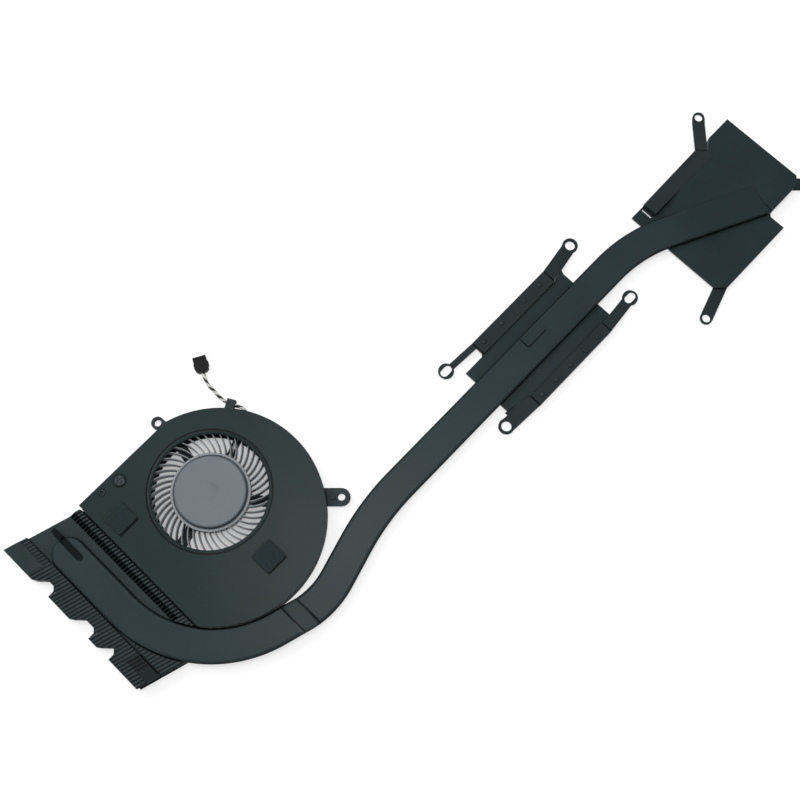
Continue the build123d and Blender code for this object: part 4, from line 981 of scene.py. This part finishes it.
class COOLER_OT_pipe(bpy.types.Operator):
    """Flattened heat pipe with its crimped end, joggle and bends"""

    bl_idname = "cooler.pipe"
    bl_label = "Heat Pipe"

    def execute(self, context):
        colours, sizes = chosen(context)
        mesh = bmesh.new()
        place = mesh.verts.layers.float_vector.new("pipe_place")
        # share of painted shade, which the coat reads as pressed
        shade_layer = mesh.verts.layers.float.new("pressed")
        half = PIPE_W / 2
        route = self.closer(rounded_route(PIPE_CORNERS, PIPE_RADII, sizes.pipe_step / MM))
        start, heading = route[0]
        turns = [math.pi / 2 * (1 - k / TIP_STEPS) for k in range(1, TIP_STEPS)]
        tip = [half * TIP_BLUNT] + [half * math.sin(turn) for turn in turns]
        stations = [(start - heading * reach, heading, reach) for reach in tip]
        stations += [(point, run, 0.0) for point, run in route]
        shares = self.across()
        rings, marks, rims, travelled, last = [], [], [], 0.0, None
        for point, run, reach in stations:
            travelled += (point - last).length if last else 0.0
            last = point
            side = Vector((run.y, -run.x))
            wide = math.sqrt(half**2 - reach**2)
            top, low, rim = [], [], []
            for share in shares:
                u = share * wide
                spot = point + side * u
                if point == route[-1][0]:
                    spot += run * (END_OVER + max(0, u) / half * END_LEAN)
                depth = half - math.hypot(u, reach)
                fade = self.over_plate(spot.x) if u < 0 else 0
                seen = PIPE_RIMS[u >= 0]
                # painted shade along the sides, fading out over the far plate
                rim.append((1 - smooth_step(seen, seen + RIM_FADE, depth)) * (1 - fade))
                height = self.half_thickness(depth, spot.x, u)
                middle = self.middle(spot.x)
                top.append((spot.x, spot.y, middle + height - self.pressed(spot.x, spot.y, height)))
                low.append((spot.x, spot.y, middle - height))
            rings.append(top + list(reversed(low)))
            slope = int(JOGGLE[0] < point.x < JOGGLE[1])
            line = [(share * wide * MM, travelled * MM, slope) for share in shares]
            marks.append(line + list(reversed(line)))
            rims.append(rim + list(reversed(rim)))
        rows = skin(mesh, rings)
        deep = set()
        for row, line, rim in zip(rows, marks, rims):
            for vertex, mark, edge in zip(row, line, rim):
                vertex[place] = mark
                x, y, z = vertex.co / MM
                sunk = self.pressed(x, y, PIPE_T) if z > self.middle(x) - DENT_D else 0
                # painted shade in the dent and the joggle's tool lines, and along the sides
                vertex[shade_layer] = max(edge, min(1, sunk / SHADE_FULL_D))
                if sunk > DENT_D / 2:
                    deep.add(vertex)
        for row in self.tail(mesh):
            deep.update(row)
        # faces in the dent and on the tail take the shaded copy of the coat
        for face in mesh.faces:
            face.material_index = int(deep.issuperset(face.verts))
        bmesh.ops.recalc_face_normals(mesh, faces=mesh.faces)
        coat = drawn_pipe_coat(colours.pipe, colours.plate)
        # a darker copy of the pipe's coat, as painted shade in the dent and on the tail
        dark = scaled(colours.pipe, 0.2)
        crimp = electrocoat("painted_shade_on_crimp", dark, cloud_mm=3.0, rough=(0.6, 0.75))
        new_piece("flat_pipe", mesh, (coat, crimp), "module", "black_coated_copper", "heat_pipe")
        return {"FINISHED"}

    def closer(self, route):
        """The route with more stations over the joggle, for its sharp lines."""
        fine = []
        for (a, heading), (b, after) in zip(route, route[1:]):
            parts = 5 if JOGGLE[0] - 3 < a.x < JOGGLE[1] + 3 else 1
            shares = [k / parts for k in range(parts)]
            fine += [(a.lerp(b, share), heading.lerp(after, share).normalized()) for share in shares]
        return fine + route[-1:]

    def across(self):
        """Shares of the half width where the section has points, closer at its round sides."""
        edge = PIPE_T / PIPE_W
        side = [1 - edge * (1 - math.cos(math.pi / 2 * k / 7)) for k in range(8)]
        flat = [(1 - edge) * (1 - 2 * k / 28) for k in range(1, 28)]
        return [-s for s in side] + [-s for s in flat] + list(reversed(side))

    def half_thickness(self, depth, x, u):
        """Half the section's thickness at that depth inside its outline."""
        radius = PIPE_T / 2 - SIDE_FLAT
        if u < 0:
            radius -= (radius - LAND_ROUND) * self.over_plate(x)
        inside = radius - min(radius, max(0.0, depth))
        return PIPE_T / 2 - radius + math.sqrt(radius**2 - inside**2)

    def over_plate(self, x):
        """How far the pipe has passed onto the far plate there, from 0 to 1."""
        return smooth_step(PLATE_X - PLATE_FADE, PLATE_X + PLATE_FADE, x)

    def middle(self, x):
        """Height of the section's middle, which falls over the joggle."""
        share = min(1, max(0, (x - JOGGLE[0]) / (JOGGLE[1] - JOGGLE[0])))
        return PIPE_HIGH + (PIPE_LOW - PIPE_HIGH) * share

    def pressed(self, x, y, height):
        """Depth of the crimp's dent and of the two tool lines across the joggle."""
        reach = DENT_W / 2
        near = min(DENT_Y[1] - reach, max(DENT_Y[0] + reach, y))
        gap = math.hypot(x - DENT_X, y - near)
        inner, outer = (reach + edge for edge in DENT_EDGE)
        depth = DENT_D * (1 - smooth_step(inner, outer, gap))
        for line in JOGGLE:
            depth = max(depth, JOGGLE_LINE_D * (1 - smooth_step(*JOGGLE_LINE_W, abs(x - line))))
        return min(depth, height)

    def tail(self, mesh):
        """The pinched-off tip beyond the round end."""
        tip = PIPE_CORNERS[0][1] + PIPE_W / 2
        rings = []
        for k in range(TAIL_STEPS + 1):
            share = k / TAIL_STEPS
            y = tip - TAIL_IN + (TAIL_L + TAIL_IN) * share
            wide = TAIL_ROOT / 2 + (TAIL_TIP - TAIL_ROOT) / 2 * share
            thick = TAIL_T / 2 * (1 - 0.35 * smooth_step(0.6, 1.0, share))
            ring = []
            for i in range(TAIL_SIDES):
                angle = 2 * math.pi * i / TAIL_SIDES
                c, s = math.cos(angle), math.sin(angle)
                x = DENT_X + wide * math.copysign(abs(c) ** 0.5, c)
                ring.append((x, y, PIPE_HIGH + thick * math.copysign(abs(s) ** 0.5, s)))
            rings.append(ring)
        return skin(mesh, rings)


class COOLER_OT_mid(bpy.types.Operator):
    """Middle cold plate with its slug, spring rails and rivets"""

    bl_idname = "cooler.mid"
    bl_label = "Middle Plate"

    def execute(self, context):
        colours, sizes = chosen(context)
        plate, spring, copper = plate_finishes(colours)
        dress("mid_plate", plate, sizes.plate_edge)
        dress("mid_slug", copper, sizes.edge_break)
        for rail in ("mid_rail_a", "mid_rail_b"):
            dress(rail, spring, sizes.plate_edge)
        low, high = (corner.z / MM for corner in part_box("mid_rivets"))
        mesh = bmesh.new()
        shoulder = high - RIVET_DOME
        profile = [(0, low), (RIVET_R, low), (RIVET_R, shoulder), (RIVET_HEAD_R, shoulder)]
        for angle in (0.1, 0.35, 0.65, 0.95, 1.25):
            profile.append((RIVET_HEAD_R * math.cos(angle), shoulder + RIVET_DOME * math.sin(angle)))
        profile.append((0, high))
        for y, places in RIVET_ROWS:
            for x in places:
                turned(mesh, profile, x, y, sides=24)
        heads = electrocoat("black_coat_on_headed_rivets", colours.spring, cloud_mm=4.0, rough=(0.28, 0.36))
        new_piece("rail_rivets", mesh, heads, "module", "black_coated_rivet", "mid_rivets")
        return {"FINISHED"}


class COOLER_OT_far(bpy.types.Operator):
    """Far cold plate with its slug, leaf and spring arms"""

    bl_idname = "cooler.far"
    bl_label = "Far Plate"

    def execute(self, context):
        colours, sizes = chosen(context)
        plate, spring, copper = plate_finishes(colours)
        dress("far_plate", plate, sizes.plate_edge)
        dress("far_slug", copper, sizes.edge_break)
        for arm in ("far_spring_a", "far_spring_b", "far_spring_c"):
            dress(arm, spring, sizes.edge_break)
        return {"FINISHED"}


class COOLER_PT_panel(bpy.types.Panel):
    """Pieces of the cooling module"""

    bl_idname = "COOLER_PT_panel"
    bl_label = "Cooling Module"
    bl_space_type = "VIEW_3D"
    bl_region_type = "UI"
    bl_category = "Cooling Module"

    def draw(self, context):
        for maker in MAKERS:
            self.layout.operator(maker.bl_idname)
        for group in chosen(context):
            for name in group.__annotations__:
                self.layout.prop(group, name)


MAKERS = (
    COOLER_OT_stage,
    COOLER_OT_lead,
    COOLER_OT_case,
    COOLER_OT_screw,
    COOLER_OT_pads,
    COOLER_OT_impeller,
    COOLER_OT_motor,
    COOLER_OT_fins,
    COOLER_OT_pipe,
    COOLER_OT_mid,
    COOLER_OT_far,
)
CLASSES = (CoolerColours, CoolerSizes, *MAKERS, COOLER_PT_panel)


def register():
    for one in CLASSES:
        bpy.utils.register_class(one)
    bpy.types.Scene.cooler_colours = bpy.props.PointerProperty(type=CoolerColours)
    bpy.types.Scene.cooler_sizes = bpy.props.PointerProperty(type=CoolerSizes)


def unregister():
    del bpy.types.Scene.cooler_sizes
    del bpy.types.Scene.cooler_colours
    for one in reversed(CLASSES):
        bpy.utils.unregister_class(one)


def main():
    register()
    bpy.ops.cooler.stage()
    bpy.ops.cooler.lead()
    bpy.ops.cooler.case()
    bpy.ops.cooler.screw()
    bpy.ops.cooler.pads()
    bpy.ops.cooler.impeller()
    bpy.ops.cooler.motor()
    bpy.ops.cooler.fins()
    bpy.ops.cooler.pipe()
    bpy.ops.cooler.mid()
    bpy.ops.cooler.far()
    bpy.context.view_layer.update()


if __name__ == "__main__":
    main()
